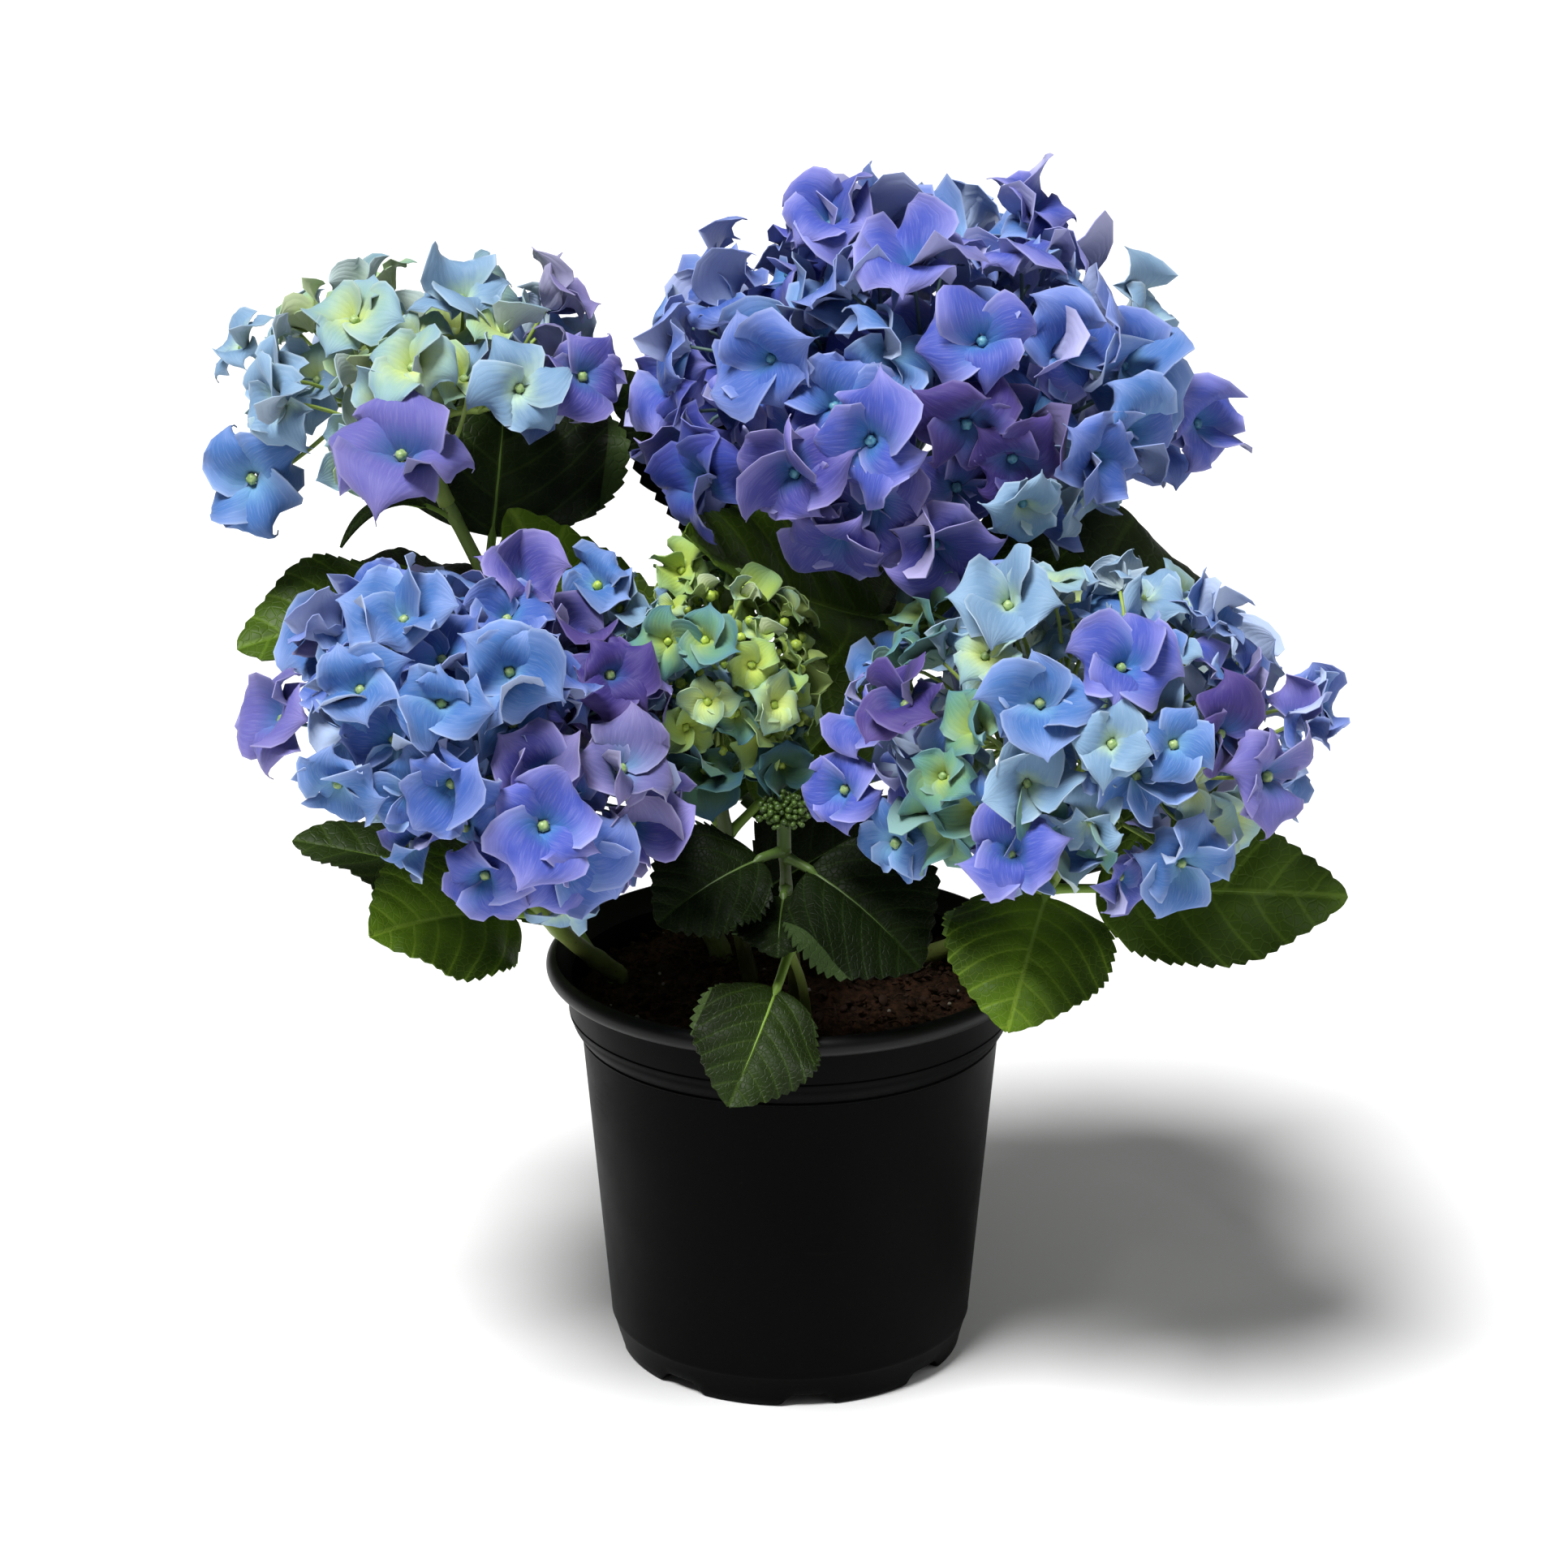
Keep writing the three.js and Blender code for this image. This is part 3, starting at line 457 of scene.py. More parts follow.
def fill(store, key, values, kind=np.float32):
    store.foreach_set(key, np.asarray(values).astype(kind).ravel())


def link(name, data):
    """A new object of the scene."""
    made = bpy.data.objects.new(name, data)
    bpy.context.scene.collection.objects.link(made)
    return made


class Skin:
    """Points in millimetres, four-cornered faces, their material numbers and UVs, gathered for one piece."""

    def __init__(self):
        self.points, self.faces, self.slots, self.uvs = [], [], [], []
        self.count = 0

    def add(self, points, faces, slot=0, uvs=None):
        """uvs holds one pair for each corner of each face."""
        self.points.append(np.asarray(points, float).reshape(-1, 3))
        self.faces.append(np.asarray(faces) + self.count)
        self.slots.append(np.full(len(faces), slot))
        self.uvs.append(np.zeros((len(faces), 4, 2)) if uvs is None else uvs)
        self.count += len(self.points[-1])

    def piece(self, name, materials, slot, replaces=(), sharp=None, uv_name="UVMap"):
        """The Blender object of all that was added, riding on the plant's one body."""
        faces = np.concatenate(self.faces)
        mesh = bpy.data.meshes.new(name)
        mesh.vertices.add(self.count)
        mesh.loops.add(faces.size)
        mesh.polygons.add(len(faces))
        fill(mesh.vertices, "co", np.concatenate(self.points) * MM)
        fill(mesh.loops, "vertex_index", faces, np.int32)
        fill(mesh.polygons, "loop_start", np.arange(0, faces.size, 4), np.int32)
        fill(mesh.polygons, "material_index", np.concatenate(self.slots), np.int32)
        fill(mesh.polygons, "use_smooth", np.ones(len(faces)), bool)
        fill(mesh.uv_layers.new(name=uv_name).data, "uv", np.concatenate(self.uvs))
        for material in materials:
            mesh.materials.append(material)
        mesh.update(calc_edges=True)
        if sharp:
            mesh.set_sharp_from_angle(angle=math.radians(sharp))
        made = link(name, mesh)
        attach(made, "root")
        if replaces:
            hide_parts(*replaces)


def grid_faces(rows, columns, closed=False):
    """Faces of a grid of points, row by row, which may close on itself along its columns."""
    last = columns if closed else columns - 1
    r, c = np.meshgrid(np.arange(rows - 1), np.arange(last), indexing="ij")
    here = r * columns + c
    beside = r * columns + (c + 1) % columns
    return np.stack([here, beside, beside + columns, here + columns], -1).reshape(-1, 4)


def grid_normals(grid):
    normals = np.cross(np.gradient(grid, axis=1), np.gradient(grid, axis=0))
    return normals / np.maximum(np.linalg.norm(normals, axis=-1, keepdims=True), 1e-9)


BACK_ORDER = [0, 3, 2, 1]  # turns a face round and keeps its diagonal, so that front and back never cross


def add_shell(skin, front, thick, front_uv, back_uv, slot=0):
    """A closed thin solid whose front is a grid of points, with a rim all round."""
    rows, columns = front.shape[:2]
    back = front - grid_normals(front) * thick
    half = rows * columns
    quads = grid_faces(rows, columns)
    flipped = quads[:, BACK_ORDER]
    across = np.arange(columns)
    down = np.arange(rows) * columns
    loop = np.concatenate([across[:-1], down[:-1] + columns - 1, half - 1 - across[:-1], down[::-1][:-1]])
    after = np.roll(loop, -1)
    rim = np.stack([after, loop, loop + half, after + half], -1)
    front_uv, back_uv = [np.broadcast_to(uv, (rows, columns, 2)).reshape(-1, 2) for uv in (front_uv, back_uv)]
    rim_uvs = np.stack([front_uv[after], front_uv[loop], front_uv[loop], front_uv[after]], 1)
    points = np.concatenate([front.reshape(-1, 3), back.reshape(-1, 3)])
    faces = np.concatenate([quads, flipped + half, rim])
    skin.add(points, faces, slot, np.concatenate([front_uv[quads], back_uv[flipped], rim_uvs]))


TUBE_SIDE = (0.31, 0.94, 0.12)  # a way that no limb runs along
TUBE_DOME = 0.4  # its end's height and width, as shares of the limb's radius
TUBE_CAP = 0.25


def add_tube(skin, places, radii, sides=8, slot=0, uv_box=None):
    """A round limb along places, closed at both ends by a short dome."""
    places = np.asarray(places, float)
    radii = np.broadcast_to(np.asarray(radii, float), len(places))
    along = units(np.gradient(places, axis=0))
    side = units(np.cross(along, unit(TUBE_SIDE)))
    over = np.cross(side, along)
    first = places[0] - along[0] * radii[0] * TUBE_DOME
    last = places[-1] + along[-1] * radii[-1] * TUBE_DOME
    centres = np.vstack([first, places, last])
    side, over = [np.vstack([way[0], way, way[-1]])[:, None] for way in (side, over)]
    widths = np.concatenate([[radii[0] * TUBE_CAP], radii, [radii[-1] * TUBE_CAP]])
    turn = -TURN * np.arange(sides) / sides
    ring = side * np.cos(turn)[None, :, None] + over * np.sin(turn)[None, :, None]
    points = centres[:, None] + ring * widths[:, None, None]
    rows = len(centres)
    caps = []
    for row, order in ((0, 1), (rows - 1, -1)):
        index = np.arange(sides) + row * sides
        caps += [[index[0], index[k], index[k + 1], index[k + 2]][::-order] for k in range(1, sides - 2, 2)]
    faces = np.concatenate([grid_faces(rows, sides, closed=True), np.array(caps)])
    if uv_box is None:
        skin.add(points, faces, slot)
        return
    (left, low), (right, high) = uv_box
    u = left + (right - left) * np.tile(np.linspace(0, 1, sides), (rows, 1))
    v = low + (high - low) * np.tile(np.linspace(0, 1, rows)[:, None], (1, sides))
    skin.add(points, faces, slot, np.stack([u, v], -1).reshape(-1, 2)[faces])


def unit_ball(steps):
    """Points and faces of a ball made of six square patches with shared edges."""
    line = np.linspace(-1, 1, steps + 1)
    points, faces = [], []
    a, b = np.meshgrid(line, line, indexing="ij")
    for axis in range(3):
        for sign in (-1, 1):
            patch = np.stack([np.full_like(a, sign), a, b * sign], -1)
            points.append(np.roll(patch, axis, axis=-1).reshape(-1, 3))
            faces.append(grid_faces(steps + 1, steps + 1)[:, ::-1] + len(faces) * (steps + 1) ** 2)
    kept, index = np.unique(np.round(units(np.concatenate(points)), 6), axis=0, return_inverse=True)
    return kept, index.reshape(-1)[np.concatenate(faces)]


BALL, BALL_FACES = unit_ball(3)
SMALL_BALL, SMALL_BALL_FACES = unit_ball(2)


def add_small_ball(skin, centre, radii, turn=None, slot=0):
    shape = SMALL_BALL * np.asarray(radii, float)
    skin.add(np.asarray(centre) + (shape if turn is None else shape @ turn.T), SMALL_BALL_FACES, slot)


# ---- Materials ----


class Value:
    """A node's output. A sign between it and a number or another output makes a math node."""

    def __init__(self, recipe, socket):
        self.recipe, self.socket = recipe, socket

    def __add__(self, other):
        return self.recipe.math("ADD", self, other)

    def __sub__(self, other):
        return self.recipe.math("SUBTRACT", self, other)

    def __mul__(self, other):
        return self.recipe.math("MULTIPLY", self, other)

    def __truediv__(self, other):
        return self.recipe.math("DIVIDE", self, other)

    def __abs__(self):
        return self.recipe.math("ABSOLUTE", self)


class Recipe:
    """A material built node by node, out of numbers, colours and their codes, and values."""

    def __init__(self, name, roughness=0.5, specular=0.5):
        self.material = bpy.data.materials.new(name)
        self.material.use_nodes = True
        self.tree = self.material.node_tree
        self.shader = self.tree.nodes["Principled BSDF"]
        self.set(Roughness=roughness, Specular_IOR_Level=specular)

    def set(self, **numbers):
        for key, number in numbers.items():
            self.shader.inputs[key.replace("_", " ")].default_value = number

    def feed(self, socket, value):
        if isinstance(value, Value):
            self.tree.links.new(value.socket, socket)
        elif value is not None:
            socket.default_value = linear(value) if isinstance(value, str) else value

    def node(self, kind, inputs=None, output=0, **settings):
        """A node's output, with inputs by name or number."""
        made = self.tree.nodes.new("ShaderNode" + kind)
        for key, value in settings.items():
            setattr(made, key, value)
        for key, value in (inputs or {}).items():
            self.feed(made.inputs[key], value)
        return Value(self, made.outputs[output])

    def math(self, operation, *values):
        return self.node("Math", dict(enumerate(values)), operation=operation)

    def fract(self, value):
        return self.math("FRACT", value)

    def mix(self, share, low, high):
        return self.node("Mix", {0: share, 6: low, 7: high}, 2, data_type="RGBA")

    def layers(self, colour, *layers):
        """A colour with others laid over it, each with its share."""
        for share, over in layers:
            colour = self.mix(share, colour, over)
        return colour

    def step(self, value, low, high, start=0.0, end=1.0):
        """A smooth step from start to end, while a value runs from low to high."""
        inputs = {"Value": value, "From Min": low, "From Max": high, "To Min": start, "To Max": end}
        return self.node("MapRange", inputs, "Result", interpolation_type="SMOOTHSTEP")

    def fall(self, value, low, high, start=1.0):
        return self.step(value, low, high, start, 0.0)

    def parts(self, vector):
        return [self.node("SeparateXYZ", {0: vector}, axis) for axis in range(3)]

    def uv(self):
        return self.parts(self.node("UVMap", uv_map=BAKED_UV))[:2]

    def vector(self, x, y):
        return self.node("CombineXYZ", {0: x, 1: y})

    def place(self):
        """The point on the object, in metres."""
        return self.node("TexCoord", output="Object")

    def noise(self, vector, scale, detail=3.0, roughness=0.55):
        inputs = {"Vector": vector, "Scale": scale, "Detail": detail, "Roughness": roughness}
        return self.node("TexNoise", inputs, "Fac")

    def cells(self, vector, scale, **settings):
        return self.node("TexVoronoi", {"Vector": vector, "Scale": scale}, "Distance", **settings)

    def finish(self, colour, height=None, depth=0.0002, roughness=None):
        self.feed(self.shader.inputs["Base Color"], colour)
        self.feed(self.shader.inputs["Roughness"], roughness)
        if height is not None:
            self.feed(self.shader.inputs["Normal"], self.node("Bump", {"Distance": depth, "Height": height}))
        return self.material


BAKED_UV = "OFBake"
TILES = 4  # petals' UVs lie in so many tiles a side, one for each kind, fronts left and backs right
TILE_EDGE = 0.06
HALVES = (0.498, 0.502)  # where a tile's front half turns into its back half


def petal_uv(across, along, tile, back=False):
    """UVs in a kind's tile. across runs from -1 to 1 and along from 0 to 1."""
    column, row = tile % TILES, tile // TILES
    u = (0.5 + across * (0.5 - TILE_EDGE)) / 2 + (0.5 if back else 0)
    v = TILE_EDGE + along * (1 - 2 * TILE_EDGE)
    u, v = np.broadcast_arrays(u, v)
    return np.stack([(column + u) / TILES, (row + v) / TILES], -1)


def petal_material(kind):
    """A sepal: pale heart, deeper blade, tip in its own tint made lighter as painted highlight, fine fan of
    veins, sides and margin lightened as painted highlight, and paler back.
    """
    heart, blade, tip, back = PETAL_COLOURS[kind]
    r = Recipe("petal_" + kind, roughness=0.6, specular=0.2)
    r.set(Sheen_Weight=0.1, Sheen_Roughness=0.4)
    u, v = r.uv()
    across = (r.fract(u * (2 * TILES)) - 0.5) / (0.5 - TILE_EDGE)
    along = (r.fract(v * TILES) - TILE_EDGE) / (1 - 2 * TILE_EDGE)
    cloud = r.noise(r.vector(across * 0.8, along), 2.6)
    grain = r.noise(r.vector(across * 9, along * 1.4), 3, 2)
    depth = along + (cloud - 0.5) * 0.34
    fan = abs(r.math("SINE", across * 17 + cloud * 3))
    colour = r.layers(
        heart,
        (r.step(depth, 0.02, HEART_REACH.get(kind, 0.42)), blade),
        # the tip's own tint, whose light colour is also painted highlight
        (r.step(depth, 0.5, 0.98) * 0.85, tip),
        (r.fall(fan, 0, 0.35) * 0.1, blade),
        (r.step(grain, 0.45, 0.75) * 0.12, back),
        # painted highlight: the blade's sides lighten towards the tip colour, as where light catches them
        (r.step(abs(across), 0.45, 0.95) * 0.5, tip),
        # painted highlight: a pale rim along the margin, where light catches the edge
        (r.step(abs(across), 0.9, 1) * 0.34, back),
        (r.step(r.fract(u * TILES), *HALVES) * 0.72, back))
    return r.finish(colour, height=fan, depth=0.00005)


def leaf_material(tone_and_shade):
    """A leaf: dark blade lit towards its middle, pale midrib, arching side veins and a fine net between."""
    blade, middle, vein, back = LEAF_COLOURS[tone_and_shade]
    r = Recipe("leaf_" + tone_and_shade, roughness=0.46, specular=0.06 if tone_and_shade == "dark" else 0.15)
    u, v = r.uv()
    local = r.fract(u * 2) - 0.5
    x = abs(local) / LEAF_SPREAD
    y = (v - LEAF_EDGE) / (1 - 2 * LEAF_EDGE)
    bend = x * VEIN_SLOPE + x * x * VEIN_CURVE
    count = (y - bend) * VEINS + r.math("SIGN", local) * VEIN_STAGGER
    off = abs(r.fract(count + 0.5) - 0.5)
    across = local / LEAF_SPREAD
    wobble = r.noise(r.vector(across, y), 5)
    spot = r.vector(across + wobble * 0.05, y)
    net = r.cells(spot, 26, feature="DISTANCE_TO_EDGE", voronoi_dimensions="2D")
    colour = r.layers(
        blade,
        (r.fall(x, 0.02, 0.34) * r.step(wobble, 0.3, 0.7, 0.5), middle),
        (r.fall(off, 0.05, 0.32) * 0.35, middle),
        (r.fall(net, 0, 0.07) * 0.3, vein),
        (r.fall(off, 0.02, 0.085) * 0.42, vein),
        (r.fall(x, 0.006, 0.018) * 0.7, vein),
        (r.step(u, *HALVES) * 0.8, back))
    relief = r.step(net, 0, 0.16) + r.step(off, 0, 0.1) * 0.8
    return r.finish(colour, height=relief, depth=0.00012, roughness=r.step(wobble, 0.2, 0.8, 0.4, 0.54))


def stem_material(name, pale, dark):
    """A shoot, browner and speckled towards its foot."""
    r = Recipe(name, roughness=0.45, specular=0.4)
    place = r.place()
    streak = r.noise(place, 60, 4)
    specks = r.fall(r.cells(place, 420), 0.1, 0.24) * r.step(r.noise(place, 240, 2), 0.5, 0.62)
    height = r.parts(place)[2]
    low = r.fall(height, (SOIL_TOP + 4) * MM, (SOIL_TOP + 50) * MM, 0.4)
    brown = (low * r.step(streak, 0.3, 0.6, 0.4), FOOT_BROWN)
    colour = r.layers(dark, (streak, pale), (specks * 0.75, SPECK_BROWN), brown)
    return r.finish(colour, height=r.noise(place, 900, 2))


def mottled_material(name, pale, dark, roughness, specular, scale, detail=3.0, limits=None):
    """Two colours in clouds, smooth or, with limits, in clearer spots."""
    r = Recipe(name, roughness, specular)
    cloud = r.noise(r.place(), scale, detail)
    return r.finish(r.mix(r.step(cloud, *limits) if limits else cloud, pale, dark))


def pot_material(name, specular):
    """Black moulded polypropylene: satin, with soft scuffs and a little dust."""
    r = Recipe(name, roughness=0.33, specular=specular)
    place = r.place()
    cloud = r.noise(place, 26, 5, 0.6)
    stretched = r.node("Mapping", {"Vector": place, "Scale": SCUFF_SCALE})
    scuff = r.step(cloud, 0.5, 0.75) * r.step(r.noise(stretched, 1, 3, 0.6), 0.52, 0.72)
    dust = r.step(r.noise(place, 140, 6, 0.7), 0.55, 0.8) * 0.1
    black, scuffed, dusty = POT_COLOURS
    colour = r.layers(black, (scuff, scuffed), (dust, dusty))
    rough = r.step(cloud, 0.2, 0.8, 0.36, 0.5) + scuff * 0.12
    return r.finish(colour, height=r.noise(place, 2600, 2), depth=0.00005, roughness=rough)


def soil_material():
    r = Recipe("compost", roughness=0.95, specular=0.12)
    place = r.place()
    dark, light, gap = SOIL_COLOURS
    crumbs = r.step(r.noise(place, 260, 6, 0.7), 0.35, 0.7)
    colour = r.layers(dark, (crumbs, light), (r.fall(r.cells(place, 520), 0, 0.16, 0.5), gap))
    return r.finish(colour, height=r.noise(place, 900, 6, 0.7), depth=0.0012)


def make_materials():
    made = {"petal_" + kind: petal_material(kind) for kind in PETAL_COLOURS}
    made |= {"leaf_" + tone_and_shade: leaf_material(tone_and_shade) for tone_and_shade in LEAF_COLOURS}
    made |= {name: stem_material(name, *codes) for name, codes in SHOOT_COLOURS.items()}
    made |= {name: mottled_material(name, *codes, *STALK_LOOK) for name, codes in STALK_COLOURS.items()}
    made |= {name: mottled_material(name, *codes, *BEAD_LOOK) for name, codes in BEAD_COLOURS.items()}
    made |= {name: pot_material(name, specular) for name, specular in POT_SHINE.items()}
    for name, (code, roughness) in CHIP_COLOURS.items():
        made[name] = mottled_material(name, linear(code, 0.75), linear(code, 1.15), roughness, 0.2, 500)
    made["compost"] = soil_material()
    return made


# ---- Pot ----

POT_AROUND = 256
HEEL_ROUND = 3.2
HEEL_DROP = 11
WALL_SETBACK = 0.8  # how far the wall's top stays under the collar
COLLAR_FLARE = 2.8
COLLAR_RISE = 5.4
FOOT_RING_INSIDE = 52.5
FOOT_ROWS = 20  # rows of the profile that may belong to the foot ring


def pot_profile():
    """Radius and height from the underside's middle, out, up and over the rim, down to the inner floor."""
    collar_top = POT_HEIGHT - 2 * BEAD
    under = [(0.4, 0), (20, 0), (20.8, 0.3), (22.4, RECESS), (51.4, RECESS), (53.2, 0.3), (54, 0)]
    edge = [(FOOT_RADIUS - 0.8, 0), (FOOT_RADIUS, 0.7)]
    bends = [1 - math.sin(a) for a in np.linspace(0.15, 1.45, 7)]
    heel = [(HEEL_RADIUS - HEEL_ROUND * b, HEEL_HEIGHT + 2 - HEEL_DROP * b**1.2) for b in bends]
    wall = [(between(HEEL_RADIUS, COLLAR_FOOT - WALL_SETBACK, t),
             between(HEEL_HEIGHT + 3, COLLAR_BOTTOM - WALL_SETBACK, t)) for t in np.linspace(0, 1, 40)]
    step = [(COLLAR_FOOT + out, COLLAR_BOTTOM + up) for out, up in ((-0.2, -0.4), (-0.1, 0), (-0.5, 0.5))]
    collar = [(COLLAR_FOOT + COLLAR_FLARE * math.sin(t * math.pi / 2), COLLAR_BOTTOM + 1 + COLLAR_RISE * t)
              for t in np.linspace(0, 1, 8)]
    groove = ((77.1, 7.4), (77.3, 8.4), (77.0, 8.8), (77.35, 9.4))
    band = [(radius, COLLAR_BOTTOM + up) for radius, up in groove]
    upper = [(78, collar_top - 1.6), (78.5, collar_top - 0.4), (80.5, collar_top + 0.1)]
    beads = [(RIM_RADIUS - BEAD + BEAD * math.cos(a), POT_HEIGHT - BEAD + BEAD * math.sin(a))
             for a in np.linspace(-1.25, 1.5, 14)]
    inside = [(79.4, POT_HEIGHT - BEAD), (78 - WALL, collar_top), (77 - WALL, COLLAR_BOTTOM + 8),
              (COLLAR_FOOT - 0.8 - WALL, COLLAR_BOTTOM), (HEEL_RADIUS - WALL, HEEL_HEIGHT + 2),
              (FOOT_RADIUS - WALL, FLOOR_TOP), (0.4, FLOOR_TOP)]
    return np.array(under + edge + heel + wall + step + collar + band + upper + beads + inside)


def notch_height(turn):
    """How high the foot ring is cut away at an angle from the front."""
    step = TURN / NOTCHES
    off = (turn - NOTCH_TURN + step / 2) % step - step / 2
    away = np.abs(off) * FOOT_RADIUS
    return NOTCH_HEIGHT * np.clip((NOTCH_WIDE / 2 - away) / ((NOTCH_WIDE - NOTCH_NARROW) / 2), 0, 1)


def make_pot(materials):
    profile = pot_profile()
    turn = TURN * np.arange(POT_AROUND) / POT_AROUND
    radius = np.repeat(profile[:, :1], POT_AROUND, axis=1)
    height = np.repeat(profile[:, 1:], POT_AROUND, axis=1)
    near_foot = (np.arange(len(profile)) < FOOT_ROWS)[:, None]
    foot = (radius > FOOT_RING_INSIDE) & (height < NOTCH_HEIGHT) & near_foot
    height = np.where(foot, np.maximum(height, notch_height(turn)[None]), height)
    points = np.stack([radius * np.sin(turn), -radius * np.cos(turn), height], -1)
    on_rim = np.minimum(profile[1:, 1], profile[:-1, 1]) > POT_HEIGHT - 2 * BEAD - 0.5
    skin = Skin()
    skin.add(points, grid_faces(len(profile), POT_AROUND, closed=True), np.repeat(on_rim, POT_AROUND))
    skin.piece("pot_shell", [materials["pot_plastic"], materials["pot_rim"]], "pot", ["pot"], sharp=38)


# ---- Compost ----

SOIL_RADIUS = 75.3
SOIL_FOOT_RADIUS = 70.5
SOIL_RINGS = 64
SOIL_AROUND = 180
SOIL_ROUGHNESS = ((3.2, 11, 1), (2.6, 4.5, 2), (1.8, 2.1, 3))  # its lumps' height, width and seed
CRUMBS = 1150
THREADS = 110
THREAD_RADIUS = 0.35
PERLITE_GRAINS = 24


def soil_height(x, y):
    share = np.minimum(1, np.hypot(x, y) / 75)
    return SOIL_TOP - 4 * share**4 + (1 - share) * SOIL_CROWN


def scattered(seed, k, reach):
    """A place on the compost, evenly over a disc."""
    turn = TURN * chance(seed, k)
    radius = reach * math.sqrt(chance(seed + 1, k))
    return radius * math.cos(turn), radius * math.sin(turn)


def add_ground(skin):
    radius = SOIL_RADIUS * np.linspace(0.005, 1, SOIL_RINGS) ** 0.8
    turn = TURN * np.arange(SOIL_AROUND) / SOIL_AROUND
    x, y = radius[:, None] * np.cos(turn), radius[:, None] * np.sin(turn)
    flat = np.stack([x, y, np.zeros_like(x)], -1)
    rough = sum(height * (lattice(flat, cell, seed) - 0.5) for height, cell, seed in SOIL_ROUGHNESS)
    top = np.stack([x, y, soil_height(x, y) + rough - 0.6], -1)
    narrow = SOIL_FOOT_RADIUS / SOIL_RADIUS
    rim = np.stack([narrow * x[-1:], narrow * y[-1:], np.full_like(x[-1:], COLLAR_BOTTOM + 1)], -1)
    floor = rim * [0.02, 0.02, 1]
    skin.add(np.concatenate([top, rim, floor]), grid_faces(SOIL_RINGS + 2, SOIL_AROUND, closed=True)[:, ::-1])


def add_crumb(skin, k):
    x, y = scattered(31, k, 73.5)
    size = 0.5 + 1.7 * chance(33, k) ** 2.5
    tilt = turn_to([chance(34, k) - 0.5, chance(35, k) - 0.5, 0.6])
    radii = size * np.array([1, 0.7 + 0.5 * chance(36, k), 0.55])
    slot = 1 if chance(37, k) < 0.22 else 0
    add_small_ball(skin, (x, y, soil_height(x, y) + 0.6 * size), radii, tilt, slot)


def add_thread(skin, k):
    """A root thread that lies on the compost, unless it would leave it."""
    start = np.array([*scattered(41, k, 72), 0])
    way = unit([chance(43, k) - 0.5, chance(44, k) - 0.5, 0.0])
    bend = np.array([-way[1], way[0], 0]) * (chance(45, k) - 0.5) * 5
    places = [start + way * s * (3 + 5 * chance(46, k)) + bend * s * s for s in np.linspace(0, 1, 5)]
    places = [q for q in places if np.hypot(*q[:2]) < 74]
    if len(places) < 3:
        return
    for i, q in enumerate(places):
        q[2] = soil_height(q[0], q[1]) + 1.3 + 1.2 * math.sin(3 * i / len(places))
    add_tube(skin, places, THREAD_RADIUS, sides=6, slot=1)


def make_soil(materials):
    skin = Skin()
    add_ground(skin)
    for k in range(CRUMBS):
        add_crumb(skin, k)
    for k in range(THREADS):
        add_thread(skin, k)
    for k in range(PERLITE_GRAINS):
        x, y = scattered(51, k, 71)
        add_small_ball(skin, (x, y, soil_height(x, y) + 1.2), 0.4 + 0.6 * chance(53, k), slot=2)
    painted = [materials[name] for name in ("compost", "bark_chip", "perlite")]
    skin.piece("compost", painted, "compost", ["soil"], sharp=60)


# ---- Stems ----

SHOOT_SLIMNESS = 0.74  # of the source's thickness, nearer to the photo
SHOOT_ROWS = 90
SHOOT_SWAY = 1.6
NODE_SWELLING = 0.16
NODE_LENGTH = 3.4
FOOT_SWELLING = 0.2


def stem_run(name):
    stem = STEMS[name]
    x, y = stem["foot"]
    return Run([(x, y, soil_height(x, y) + 1), *stem["through"], stem["tip"]])


RUNS = {name: stem_run(name) for name in STEMS}


def make_stem(name, material):
    run = RUNS[name]
    shares = np.linspace(0, 1, SHOOT_ROWS)
    radii = SHOOT_SLIMNESS * between(*STEMS[name]["thick"], shares)
    radii = radii * (1 + FOOT_SWELLING * np.exp(-shares * 14))
    for at in sorted({leaf["at"] for leaf in LEAVES.values() if leaf["stem"] == name}):
        radii = radii * (1 + NODE_SWELLING * np.exp(-(((shares - at) * run.length / NODE_LENGTH) ** 2)))
    places = np.array([run.at(s) for s in shares])
    sway = np.stack([lattice(places, 26, k) - 0.5 for k in (3, 4, 5)], -1) * np.sin(math.pi * shares)[:, None]
    places = places + SHOOT_SWAY * sway
    places[0, 2] -= 3
    skin = Skin()
    add_tube(skin, places, radii, sides=18)
    skin.piece(name + "_shoot", [material], "stem", [name])


# ---- Leaves ----

LEAF_EDGE = 0.03
LEAF_SPREAD = 1.1  # UV width for a leaf's length
VEINS = 6
VEIN_SLOPE = 0.5
VEIN_CURVE = 1.1
VEIN_STAGGER = 0.18
TEETH = 17
TOOTH_BITE = 1.8
DARK_TOOTH_BITE = 2.8
LEAF_ROWS = TEETH * 5
LEAF_COLUMNS = 18
LEAF_THICK = 0.55
BRACT_THICK = 0.8
BRACT_WIDTH = 12  # a blade narrower than this is a bract, smooth and plain
LEAF_WAVE = 0.11
LEAF_QUILT = 1.25
LEAF_DRIFT = 3.0
STALK_ROWS = 14
RIB_ROWS = 34
RIB_END = 0.94  # where the midrib ends, as a share of the leaf's run
RIB_UV = ((0.51, 0.0), (0.53, 0.02))


def blade_outline(v):
    return np.sin(math.pi * np.clip(v, 0, 1) ** 0.86) ** 0.6 * (1 - 0.25 * v**6)


def vein_distance(x, v):
    """How far a point lies from the nearest side vein, from 0 on it to 0.5 midway to the next."""
    count = (v - VEIN_SLOPE * np.abs(x) - VEIN_CURVE * x**2) * VEINS + VEIN_STAGGER * np.sign(x)
    return np.abs((count + 0.5) % 1 - 0.5)


